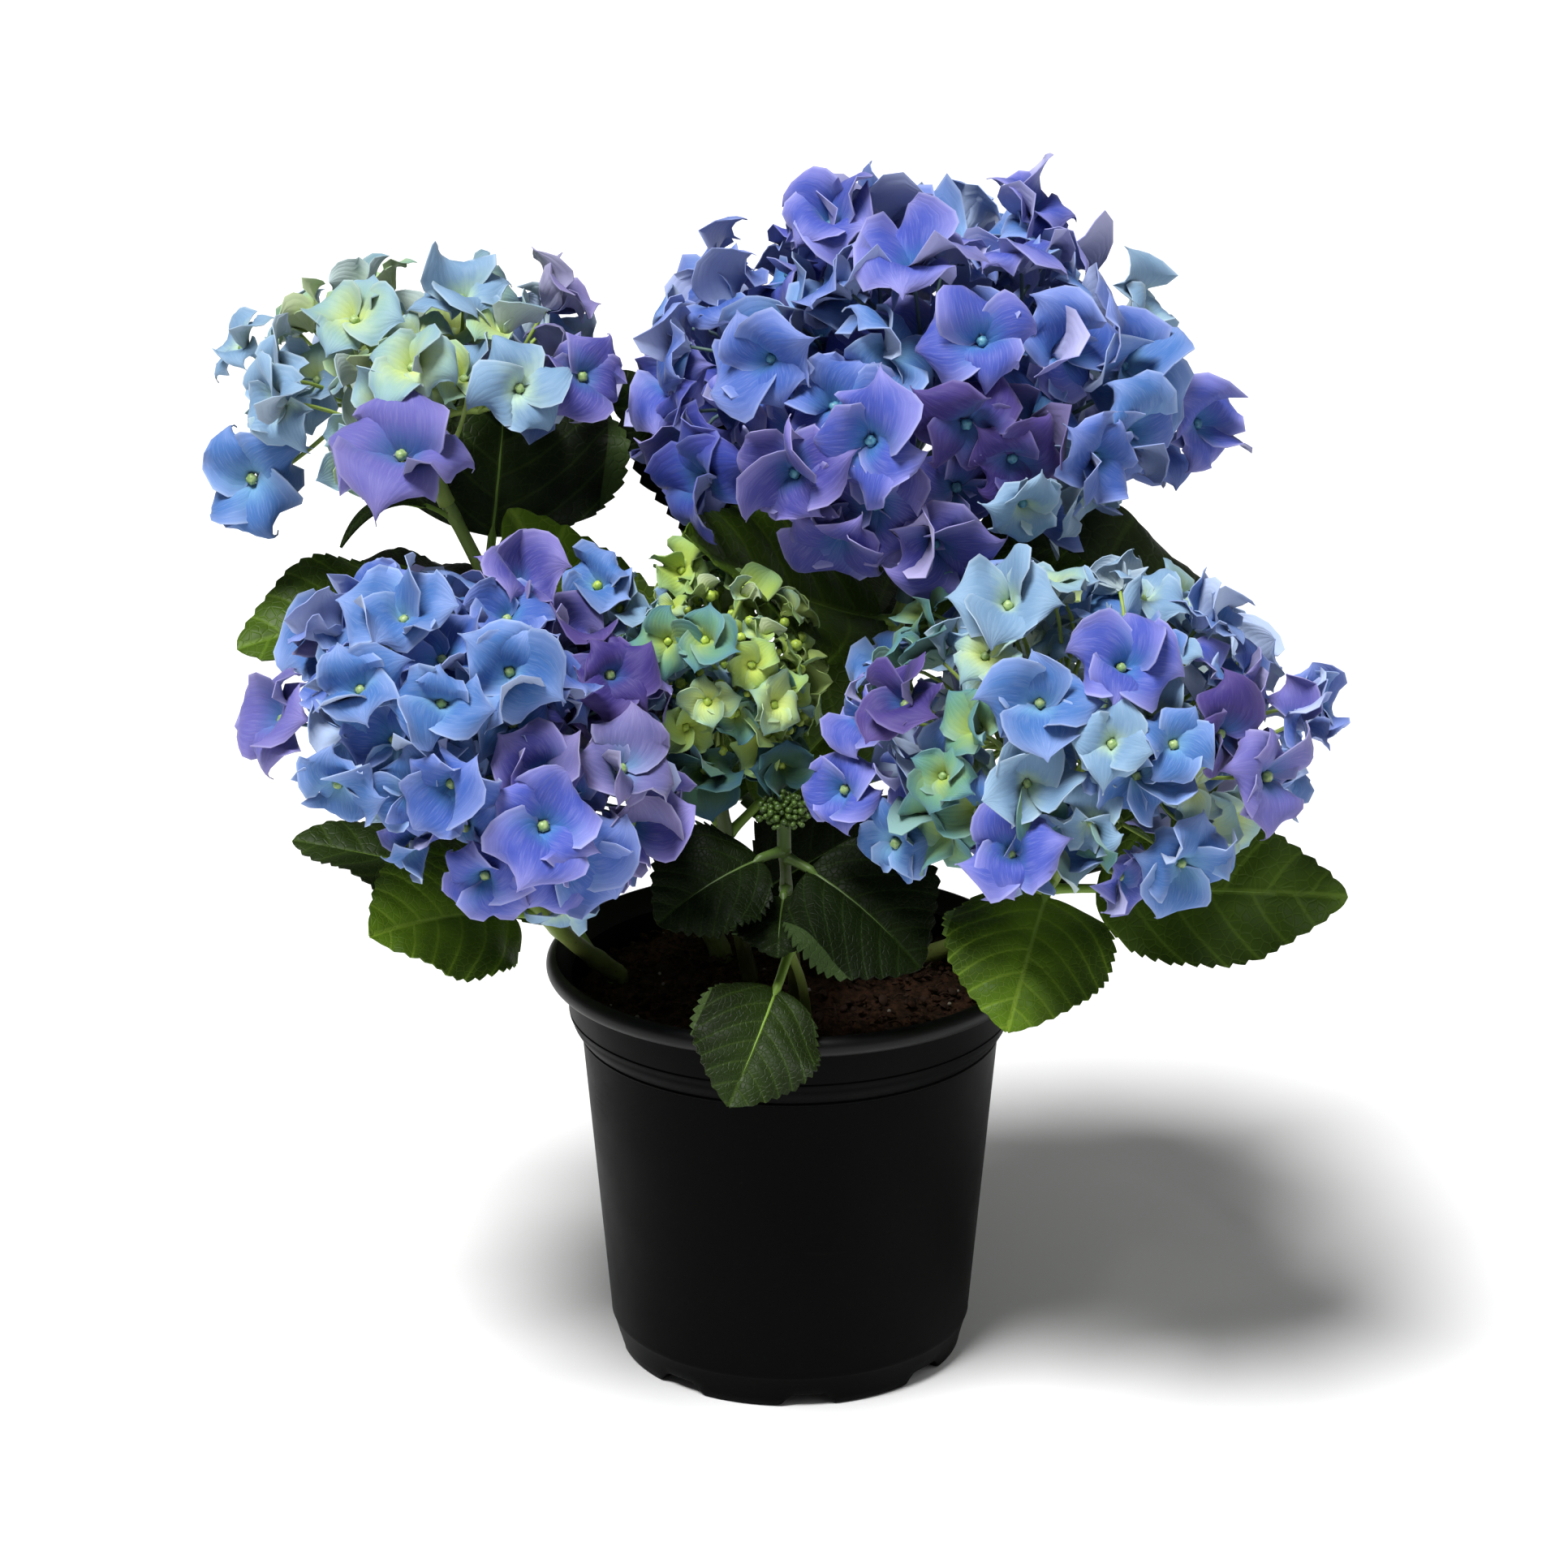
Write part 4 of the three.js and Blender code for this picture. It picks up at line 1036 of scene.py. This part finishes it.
def leaf_frame(leaf):
    """The leaf's run from the stem: base, middle control point and tip, as in the source."""
    run, at = RUNS[leaf["stem"]], leaf["at"]
    thick = between(*STEMS[leaf["stem"]]["thick"], at)
    node, along = run.at(at), run.along(at)
    end = np.array(leaf["tip"], float)
    out = end - node
    if at < 0.99:
        out = unit(out - along * (out @ along))
        base = node + out * (thick * 0.6)
    else:
        base = node + unit(out) * (thick * 0.1) + along
    bow = base + (end - base) * 0.45 + unit(leaf["faces"]) * 2 * leaf["arch"] * np.linalg.norm(end - base)
    return base, bow, end


def blade_shape(leaf, number, v, length):
    """How far each point of a blade lies to the side, as a grid, and how far it is lifted."""
    slender = leaf["width"] < BRACT_WIDTH
    v = v[:, None]
    half = np.maximum(leaf["width"] / 2 * blade_outline(v), 0.25)
    bite = 0.0 if slender else DARK_TOOTH_BITE if leaf["tone_and_shade"] == "dark" else TOOTH_BITE
    teeth = bite * (((v * TEETH) % 1) ** 0.8 - 0.5) * np.clip(half / 8, 0, 1) * smooth(v, 0.04, 0.16)
    u = np.linspace(-1, 1, LEAF_COLUMNS + 1)
    lean = 1 + 0.1 * (chance(number, 3) - 0.5) * np.sign(u)
    x = half * u * lean + (teeth * u * np.abs(u) ** 8)
    fold = LEAF_FOLD + 0.16 * (chance(number, 4) - 0.5)
    lift = np.abs(x) * math.sin(fold) * 1.25 - x**2 / np.maximum(half, 1) * 0.16
    if not slender:
        wave = np.sin(TURN * (v * (1.6 + chance(number, 5)) + chance(number, 6) + 0.25 * np.sign(u)))
        lift = lift + LEAF_WAVE * half * wave * np.abs(u) ** 2.2
        quilt = (vein_distance(x / length, v) * 2) ** 0.7
        calm = smooth(np.abs(x), 0.5, 5) * (1 - 0.6 * np.abs(u) ** 4) * np.clip(half / 14, 0, 1)
        lift = lift + LEAF_QUILT * (quilt - 0.5) * calm - 0.5 * np.exp(-((x / 1.3) ** 2))
    return u, x, x * math.cos(fold * 0.7), lift


def add_rib(skin, leaf, run, t, top):
    """The stalk and, under the blade, the midrib."""
    stalk = leaf["stalk"]
    below = stalk + (RIB_END - stalk) * np.linspace(0.03, 1, RIB_ROWS)
    shares = np.concatenate([np.linspace(0, stalk, STALK_ROWS), below])
    within = np.clip((shares - stalk) / (1 - stalk), 0, 1)
    above = np.stack([np.interp(shares, t, top[:, i]) for i in range(3)], -1)
    radius = PETIOLE_RADIUS * (0.5 if leaf["width"] < BRACT_WIDTH else 1)
    radius = radius * np.where(within > 0, 0.72 * (1 - within) ** 0.8 + 0.1, 1)
    radius = radius * (1 + 0.5 * np.exp(-shares / 0.03))
    places = quadratic(*run, shares) - above * (smooth(within, 0, 0.05) * (0.7 + 0.6 * radius))[:, None]
    add_tube(skin, places, radius, sides=10, slot=1, uv_box=RIB_UV)


def make_leaf(name, number, materials):
    leaf = LEAVES[name]
    run = leaf_frame(leaf)
    v = np.linspace(0, 1, LEAF_ROWS + 1)
    t = leaf["stalk"] + (1 - leaf["stalk"]) * v
    centre = quadratic(*run, t)
    length = np.linalg.norm(np.diff(centre, axis=0), axis=1).sum()
    along = units(np.gradient(centre, axis=0))
    side = units(np.cross(along, unit(leaf["faces"])))
    top = np.cross(side, along)
    u, x, across, lift = blade_shape(leaf, number, v, length)
    grid = centre[:, None] + side[:, None] * across[..., None] + top[:, None] * lift[..., None]
    slender = leaf["width"] < BRACT_WIDTH
    if not slender:
        drift = (lattice(grid, 30, number) - 0.5)[..., None] * LEAF_DRIFT * np.abs(u)[None, :, None]
        grid = grid + top[:, None] * drift
    fine_v = LEAF_EDGE + v[:, None] * (1 - 2 * LEAF_EDGE)
    front_uv = np.stack(np.broadcast_arrays(0.25 + x / length * LEAF_SPREAD / 2, fine_v), -1)
    skin = Skin()
    add_shell(skin, grid, BRACT_THICK if slender else LEAF_THICK, front_uv, front_uv + [0.5, 0])
    add_rib(skin, leaf, run, t, top)
    skin.piece(name + "_blade", materials, "leaf", [name], sharp=48, uv_name=BAKED_UV)


# ---- Flower heads ----

PETAL_THICK = 0.32
FINE_GRID = (11, 8)
COARSE_GRID = (7, 6)
SETTLING_GRID = (5, 4)
SETTLING_ROUNDS = 40
MOST_CROSSINGS = 6  # that count for one petal
SETTLING_TURN = 0.012
SETTLING_RISE = 0.08
STRAY_FREEDOM = 0.25  # a stray gives way only so much
STRAY_KEYS = ("way", "share", "length", "kind", "faces", "bend", "spin")
STRAY_NUMBERS = 700  # where the seeded rule's count of the strays and of the inner florets starts
INNER_NUMBERS = 500
ROOM = 0.62  # of a petal's length, kept free round a stray

# How a petal is shaped: its value when cupped and when bent back, then the number and range of its own draw.
RISE = (1.25, 1.05, 11, -0.35, 0.3)  # slope at the foot
SPREAD = (0.7, 0.2, 12, -0.35, 0.3)  # slope midway
FALL = (0.15, -2.2, 13, -0.5, 0.5)  # slope at the tip
TIP_CURL = (0.6, -2.7, 19, -0.6, 0.6)
SHOULDERS = ((3.2, 2.5, 15, 0.8, 1.2), (3.2, 2.5, 17, 0.8, 1.2))  # the draw multiplies here and in POINT
POINT = (1.2, 2.5, 16, 0.85, 1.2)
HALF_WIDTH = (0.64, 0.52)
BASE_CURL = (1.4, 0.8)
CLAW = 0.55  # the power with which a petal widens from its foot
ROLL = 0.24
PAIR_LIFT = 0.35  # one pair of a floret's petals lies above the other
PLAIN_SHARE = 0.8  # of the petals, which twist a little and don't turn over
EXTRA_TWIST = 1.3
LEAST_WIDTH = 0.008  # shares of a petal's length, as are the next two
HEART_HOLE = 0.04
GROOVE = 0.035


def dome_direction(k, count, lowest):
    """Direction k of count over a dome about straight up, evenly by the golden angle, as in the source."""
    up = 1 - (1 - lowest) * (k + 0.5) / count
    flat = math.sqrt(max(0, 1 - up * up))
    return np.array([flat * math.cos(k * GOLDEN_ANGLE), flat * math.sin(k * GOLDEN_ANGLE), up])


def kinds_of(head, world, seed, k):
    """The kinds of the zone that a floret looks towards, its own first. The zones' borders are blurred."""
    blur = [0.3 * chance(seed + 9, 10 * k + i) for i in range(len(head["zones"]))]
    scores = [world @ unit(zone) + more for (zone, _), more in zip(head["zones"], blur)]
    kinds = head["zones"][int(np.argmax(scores))][1].split()
    own = int(chance(seed + 4, k) * len(kinds))
    return kinds[own:] + kinds[:own]


def floret_axes(normal):
    out = unit(normal)
    across = unit(np.cross(out, [0.2, 0.9, 0.4]))
    return across, np.cross(out, across), out


class Dome:
    """A head's shape and the florets that stand on it: strays first, then the outer and the inner dome."""

    def __init__(self, name):
        self.head = HEADS[name]
        self.seed = len(name)
        self.lean = turn_to(self.head["axis"])
        self.axis = unit(self.head["axis"])
        self.reach = np.array(self.head["reach"], float)
        self.florets = []
        for k, stray in enumerate(self.head["strays"]):
            self.stand_stray(STRAY_NUMBERS + k, **dict(zip(STRAY_KEYS, stray)))
        self.fill("outer", 0, (0.84, 1.12), 1, (0.8, 1), 0, FINE_GRID)
        self.fill("inner", INNER_NUMBERS, (0.75, 0.95), 3, (0.5, 0.64), 2, COARSE_GRID)

    def tilt(self, k):
        return np.array([chance(k, 5), chance(k, 6), chance(k, 7)]) - 0.5

    def place(self, way, share, length):
        return self.lean @ (way * self.reach * share - way * INSET * length) + self.head["centre"]

    def stand(self, k, place, normal, length, kinds, share, bend, spin, room, grid):
        self.florets.append(dict(
            place=place, axes=floret_axes(normal), length=length, kinds=kinds, seed=self.seed * 1000 + k,
            level=share, bend=bend, spin=spin, room=room, grid=grid))

    def stand_stray(self, k, way, share, length, kind, faces, bend, spin):
        place = self.place(unit(self.lean.T @ unit(way)), share, length)
        normal = unit(faces) + self.tilt(k) * STRAY_TILT
        room = ROOM * length
        self.stand(k, place, normal, length, [kind], share, bend, math.radians(spin), room, FINE_GRID)

    def fill(self, layer, first, sizes, size_seed, shares, share_seed, grid):
        """A layer of florets, evenly spread, that leaves the strays their room."""
        head, seed = self.head, self.seed
        for own in range(head[layer]):
            k = first + own
            way = dome_direction(own, head[layer], head["lowest"])
            kinds = kinds_of(head, self.lean @ way, seed, k)
            length = head["petal"] * between(*sizes, chance(seed + size_seed, own))
            if layer == "outer":
                length *= GROWTH.get(kinds[0], 1)
            share = between(*shares, chance(seed + share_seed, own))
            place = self.place(way, share, length)
            if any(np.linalg.norm(place - f["place"]) < f["room"] for f in self.florets):
                continue
            normal = self.lean @ (unit(way / self.reach) * 0.65 + way * 0.35 + self.tilt(k) * TILT)
            bend = between(*head["bend"], chance(seed + 6, k))
            spin = TURN * chance(seed * 1000 + k, 1)
            self.stand(k, place, normal, length, kinds, share, bend, spin, 0, grid)


def petal_outline(v, widest, pointed):
    """Half width along a petal, 1 at its widest: a narrow foot, broad shoulders and a drawn-out tip."""
    def shape(at):
        return at**CLAW * np.maximum(1 - at**widest, 0) ** pointed
    return shape(v) / shape((CLAW / (CLAW + widest * pointed)) ** (1 / widest))


class Petals:
    """All petals of one head. Each array holds one value or vector for a petal."""

    def __init__(self, florets):
        rows, self.kinds = [], []
        for index, floret in enumerate(florets):
            seed, kinds = floret["seed"], floret["kinds"]
            count = 5 if chance(seed, 2) > 0.93 else 4
            hand = 1 if chance(seed, 3) > 0.25 else -1
            for k in range(count):
                turn = floret["spin"] + TURN * k / count + 0.24 * (chance(seed, 30 + k) - 0.5)
                length = floret["length"] * between(0.86, 1.14, chance(seed, 40 + k))
                lift = PAIR_LIFT * (k % 2)
                rows.append((index, turn, length, lift, hand, seed * 7 + k * 13 + 1, floret["bend"]))
                other = chance(seed, 50 + k) > 0.78
                self.kinds.append(kinds[1 if other and len(kinds) > 1 else 0])
        index, turn, self.length, self.lift, hand, self.seed, bend = np.array(rows).T[..., None]
        self.floret = index[:, 0].astype(int)
        across, up, self.out = self.each([f["axes"] for f in florets]).transpose(1, 0, 2)
        self.place = self.each([f["place"] for f in florets])
        self.level = self.each([f["level"] for f in florets])
        self.free = self.each([STRAY_FREEDOM if f["room"] else 1 for f in florets])[:, None]
        slim = self.each([SLIMNESS.get(f["kinds"][0], 1) for f in florets])[:, None]
        self.ray = across * np.cos(turn) + up * np.sin(turn)
        self.beside = across * np.sin(turn) - up * np.cos(turn)
        bend = np.clip(bend + self.draw(10, -0.18, 0.18), 0, 1.15)
        self.rise, self.spread, self.fall, self.tip_curl = [
            between(cupped, bent, bend) + self.draw(*own)
            for cupped, bent, *own in (RISE, SPREAD, FALL, TIP_CURL)]
        *self.widest, self.pointed = [
            between(cupped, bent, bend) * self.draw(*own) for cupped, bent, *own in (*SHOULDERS, POINT)]
        self.half = self.length * slim * between(*HALF_WIDTH, bend) * self.draw(18, 0.88, 1.1)
        self.base_curl = between(*BASE_CURL, bend)
        self.roll = ROLL * hand
        turned_over = np.sign(self.draw(24, -1, 1)) * (self.draw(25, 0, 1) > PLAIN_SHARE)
        self.twist = self.draw(14, -0.8, 1.0) + EXTRA_TWIST * turned_over
        self.skew = self.draw(20, -0.4, 0.4)
        self.waves = self.draw(21, 0.9, 1.8)
        self.wave_start = self.draw(22, 0, 1)
        self.ruffle = self.draw(23, 0.2, 0.52)
        self.turned = np.zeros_like(self.length)
        self.raised = np.zeros_like(self.length)

    def each(self, values):
        """Every petal's value, from its floret's."""
        return np.array(values)[self.floret]

    def draw(self, k, low, high):
        return between(low, high, chance(self.seed, k))

    def grids(self, rows, columns):
        """Points of every petal's upper face. It rises from the heart, spreads, and bends back or cups."""
        share = np.linspace(0, 1, rows + 1)
        v = (0.6 * share + 0.2 * (1 - np.cos(math.pi * share)))[None]
        u = np.linspace(-1, 1, columns + 1)
        slope = self.rise * (1 - v) ** 2 + self.spread * 2 * v * (1 - v) + self.fall * v**2 + self.turned
        middle = (slope[:, 1:] + slope[:, :-1]) / 2
        step = np.diff(v) * self.length
        start = np.zeros_like(self.length)
        out = np.concatenate([start, np.cumsum(np.cos(middle) * step, axis=1)], 1) + HEART_HOLE * self.length
        up = np.concatenate([start, np.cumsum(np.sin(middle) * step, axis=1)], 1) + self.lift + self.raised
        ray, beside, above = self.ray[:, None], self.beside[:, None], self.out[:, None]
        centre = self.place[:, None] + ray * out[..., None] + above * up[..., None]
        normal = above * np.cos(slope)[..., None] - ray * np.sin(slope)[..., None]
        twist = (self.roll + self.twist * v)[..., None]
        side = beside * np.cos(twist) + normal * np.sin(twist)
        face = normal * np.cos(twist) - beside * np.sin(twist)
        x, z = self.cross_section(v, u)
        return v[0], u, centre[:, :, None] + side[:, :, None] * x[..., None] + face[:, :, None] * z[..., None]

    def cross_section(self, v, u):
        """How far each point lies to the side of its petal's middle line, and how far above it."""
        length, ruffle, skew = [values[..., None] for values in (self.length, self.ruffle, self.skew)]
        left, right = [petal_outline(v, widest, self.pointed)[..., None] for widest in self.widest]
        half = np.maximum(np.where(u < 0, left, right) * self.half[..., None], LEAST_WIDTH * length)
        curl = (self.base_curl * (1 - v) + self.tip_curl * v)[..., None] + skew * u * v[..., None]
        curl = np.where(np.abs(curl) < 1e-3, 1e-3, curl)
        x = half * np.sin(curl * u) / curl
        z = half * (1 - np.cos(curl * u)) / curl
        phase = TURN * (self.waves * v + self.wave_start)[..., None]
        z = z + half * ruffle * np.sin(phase + 1.4 * u) * u**2 + half * 0.09 * np.sin(2.3 * phase) * u**3
        return x, z - GROOVE * length * np.exp(-((u / 0.18) ** 2)) * (1 - v[..., None])

    def settle(self):
        """Lifts the outer and lowers the inner of two petals that cross, a little each round."""
        rows, columns = SETTLING_GRID
        one = grid_faces(rows + 1, columns + 1)
        corners = (rows + 1) * (columns + 1)
        count = len(self.length)
        faces = (one[None] + corners * np.arange(count)[:, None, None]).reshape(-1, 4).tolist()
        for _ in range(SETTLING_ROUNDS):
            points = self.grids(rows, columns)[2].reshape(-1, 3)
            tree = BVHTree.FromPolygons(points.tolist(), faces)
            pairs = np.array(tree.overlap(tree)).reshape(-1, 2) // len(one)
            pairs = pairs[self.level[pairs[:, 0]] > self.level[pairs[:, 1]]]
            over, under = [np.bincount(pairs[:, i], minlength=count) for i in (0, 1)]
            push = np.minimum(over, MOST_CROSSINGS) - np.minimum(under, MOST_CROSSINGS)
            push = push[:, None] * self.free
            self.turned = np.clip(self.turned + SETTLING_TURN * push, -0.8, 0.3)
            self.raised = np.clip(self.raised + SETTLING_RISE * push, -10, 4)


def add_petals(skin, florets, kinds):
    """All petals of a head, settled, and each floret's own rise in florets."""
    petals = Petals(florets)
    petals.settle()
    lift = np.bincount(petals.floret, petals.raised[:, 0]) / np.bincount(petals.floret)
    petals.raised = lift[petals.floret][:, None]
    for floret, rise in zip(florets, lift):
        floret["raised"] = rise
    for shape in (FINE_GRID, COARSE_GRID):
        v, u, grids = petals.grids(*shape)
        for index, grid in enumerate(grids):
            if florets[petals.floret[index]]["grid"] == shape:
                tile = kinds.index(petals.kinds[index])
                front, back = [petal_uv(u[None], v[:, None], tile, back=side) for side in (False, True)]
                add_shell(skin, grid, PETAL_THICK, front, back, tile)


def add_bead(skin, floret):
    """The four-lobed closed flower in a floret's heart."""
    across, up, out = floret["axes"]
    size = 0.9 + 0.03 * floret["length"] + 0.3 * chance(floret["seed"], 60)
    turn = np.arctan2(BALL[:, 1], BALL[:, 0])
    round_share = 1 - np.abs(BALL[:, 2]) ** 3
    shape = BALL * (size * (1 + 0.14 * np.cos(4 * turn) * round_share))[:, None]
    place = floret["place"] + out * (floret["raised"] + size * 1.1)
    skin.add(place + shape[:, :1] * across + shape[:, 1:2] * up + shape[:, 2:] * out * 0.9, BALL_FACES)


def add_limb(skin, start, bend, end, count, thick, thin, **settings):
    """A tapering stalk that is bent once."""
    places = quadratic(start, bend, end, np.linspace(0, 1, count))
    add_tube(skin, places, np.linspace(thick, thin, count), **settings)


def add_branches(stalks, dome, stem):
    """The head's own stalk, from the shoot's tip to a hub, and its branches. Gives their tips."""
    foot, along = RUNS[stem].at(1.0), RUNS[stem].along(1.0)
    hub = dome.head["centre"] - 0.35 * dome.reach[2] * dome.axis
    thick = STEMS[stem]["thick"][1]
    add_limb(stalks, foot - along * 2, foot + along * 8, hub, 10, thick, thick * 0.75, sides=12)
    tips = []
    for k in range(BRANCHES):
        tip = hub + dome.lean @ (dome_direction(k, BRANCHES, 0.0) * dome.reach * 0.45)
        bend = hub + (tip - hub) * 0.5 + 0.12 * dome.reach[2] * dome.axis
        add_limb(stalks, hub, bend, tip, 8, 1.6, 1.0)
        tips.append(tip)
    return tips


def add_stalk(stalks, floret, tips):
    """A floret's stalk, from the nearest branch."""
    out = floret["axes"][2]
    place = floret["place"] + out * floret["raised"]
    root = min(tips, key=lambda tip: np.linalg.norm(tip - place))
    bend = place - out * 0.45 * np.linalg.norm(place - root)
    add_limb(stalks, root, bend, place + out * 0.4, 7, 0.85, 0.65, sides=6)


def make_head(name, materials):
    dome = Dome(name)
    head, florets = dome.head, dome.florets
    kinds = sorted({kind for floret in florets for kind in floret["kinds"]})
    petals, beads, stalks = Skin(), Skin(), Skin()
    tips = add_branches(stalks, dome, name.replace("head", "stem"))
    add_petals(petals, florets, kinds)
    for floret in florets:
        add_bead(beads, floret)
        add_stalk(stalks, floret, tips)
    if name == "head_middle":
        add_young_buds(beads, stalks, dome)
    painted = [materials["petal_" + kind] for kind in kinds]
    petals.piece(name + "_petals", painted, head["slot"], [name], sharp=55, uv_name=BAKED_UV)
    beads.piece(name + "_hearts", [materials[head["bead"]]], head["slot"])
    stalks.piece(name + "_stalks", [materials[head["stalk"]]], "stem")


def add_young_buds(beads, stalks, dome):
    """Green unopened flowers between the open florets of the youngest head."""
    centre = np.array(dome.head["centre"])
    for k in range(YOUNG_BUDS):
        share = 0.72 + 0.2 * chance(81, k)
        place = dome.lean @ (dome_direction(k, YOUNG_BUDS, -0.5) * dome.reach * share) + centre
        add_small_ball(beads, place, 1.3 + 0.9 * chance(82, k))
        if k % 2:
            root = between(centre, place, 0.45)
            add_limb(stalks, root, between(root, place, 0.5) + UP, place, 4, 0.5, 0.5, sides=6)


def make_bud(materials):
    """The youngest head of all: a knob of green beads on the short front shoot."""
    lean = turn_to(BUD["axis"])
    reach, centre = np.array(BUD["reach"], float), np.array(BUD["centre"], float)
    tip, along = RUNS[BUD["stem"]].at(1.0), RUNS[BUD["stem"]].along(1.0)
    skin = Skin()
    add_limb(skin, tip - along * 2, tip + along * 3, centre, 6, 2.4, 2.4, sides=12, slot=1)
    for k in range(BUD["beads"]):
        way = dome_direction(k, BUD["beads"], -0.35)
        place = lean @ (way * reach * (0.5 + 0.34 * chance(91, k))) + centre
        add_small_ball(skin, place, 0.8 + 0.6 * chance(92, k))
        add_limb(skin, centre, between(centre, place, 0.5), place, 4, 0.6, 0.6, sides=6, slot=1)
    painted = [materials["bud_dark"], materials["petiole_dark"]]
    skin.piece("head_bud_knob", painted, "buds_green", ["head_bud"])


# ---- Camera, light and floor ----

PHOTO_SIDE = 1932
FOCAL_PIXELS = 5552
CENTRE_OFFSET_PIXELS = 7.5  # how far right of the frame's middle the pot's axis stands
SENSOR_WIDTH = 36
CAMERA_BACK = 1468.6
CAMERA_HEIGHT = 704.9
CAMERA_PITCH = 18.73
KEY_SUN = (5.3, 24, -38, 64)
FILL_SUN = (0.42, 60, 60, 45)
WORLD_LIGHT = 0.11
FLOOR_RADIUS = 9000
FLOOR_DROP = 0.3
FLOOR_CORNERS = 64


def add_camera():
    data = bpy.data.cameras.new("camera")
    data.sensor_width = SENSOR_WIDTH
    data.lens = SENSOR_WIDTH * FOCAL_PIXELS / PHOTO_SIDE
    data.shift_x = -CENTRE_OFFSET_PIXELS / PHOTO_SIDE
    data.clip_start, data.clip_end = 0.05, 60
    camera = link("camera", data)
    camera.location = (0, -CAMERA_BACK * MM, CAMERA_HEIGHT * MM)
    camera.rotation_euler = (math.radians(90 - CAMERA_PITCH), 0, 0)
    bpy.context.scene.camera = camera


def add_sun(name, strength, spread, azimuth, elevation):
    """Azimuth is where the light stands: 0 in front of the plant, 90 on its right."""
    data = bpy.data.lights.new(name, "SUN")
    data.energy = strength
    data.angle = math.radians(spread)
    link(name, data).rotation_euler = (math.radians(90 - elevation), 0, math.radians(azimuth))


def add_floor():
    turn = TURN * np.arange(FLOOR_CORNERS) / FLOOR_CORNERS
    radius = FLOOR_RADIUS * MM
    rim = [(radius * math.cos(a), radius * math.sin(a), -FLOOR_DROP * MM) for a in turn]
    mesh = bpy.data.meshes.new("floor")
    mesh.from_pydata(rim, [], [list(range(FLOOR_CORNERS))])
    mesh.materials.append(Recipe("floor_paper", roughness=0.9, specular=0.1).finish(FLOOR_COLOUR))
    link("floor", mesh)


def add_studio():
    world = bpy.data.worlds.new("studio")
    world.use_nodes = True
    background = world.node_tree.nodes["Background"]
    background.inputs["Color"].default_value = (1, 1, 1, 1)
    background.inputs["Strength"].default_value = WORLD_LIGHT
    bpy.context.scene.world = world
    bpy.context.scene.view_settings.view_transform = "Standard"
    bpy.context.scene.view_settings.look = "None"
    add_sun("key", *KEY_SUN)
    add_sun("fill", *FILL_SUN)
    add_floor()


# ---- The whole plant ----

add_camera()
add_studio()
MATERIALS = make_materials()
make_pot(MATERIALS)
make_soil(MATERIALS)
for stem_name in STEMS:
    make_stem(stem_name, MATERIALS["shoot_dark" if stem_name in DARK_STEMS else "shoot"])
for index, leaf_name in enumerate(LEAVES):
    tone_and_shade = LEAVES[leaf_name]["tone_and_shade"]
    # the ribs of the darkest leaves are darker too: painted shade
    rib = "petiole_dark" if tone_and_shade == "dark" else "petiole"
    make_leaf(leaf_name, index, [MATERIALS["leaf_" + tone_and_shade], MATERIALS[rib]])
for head_name in HEADS:
    make_head(head_name, MATERIALS)
make_bud(MATERIALS)
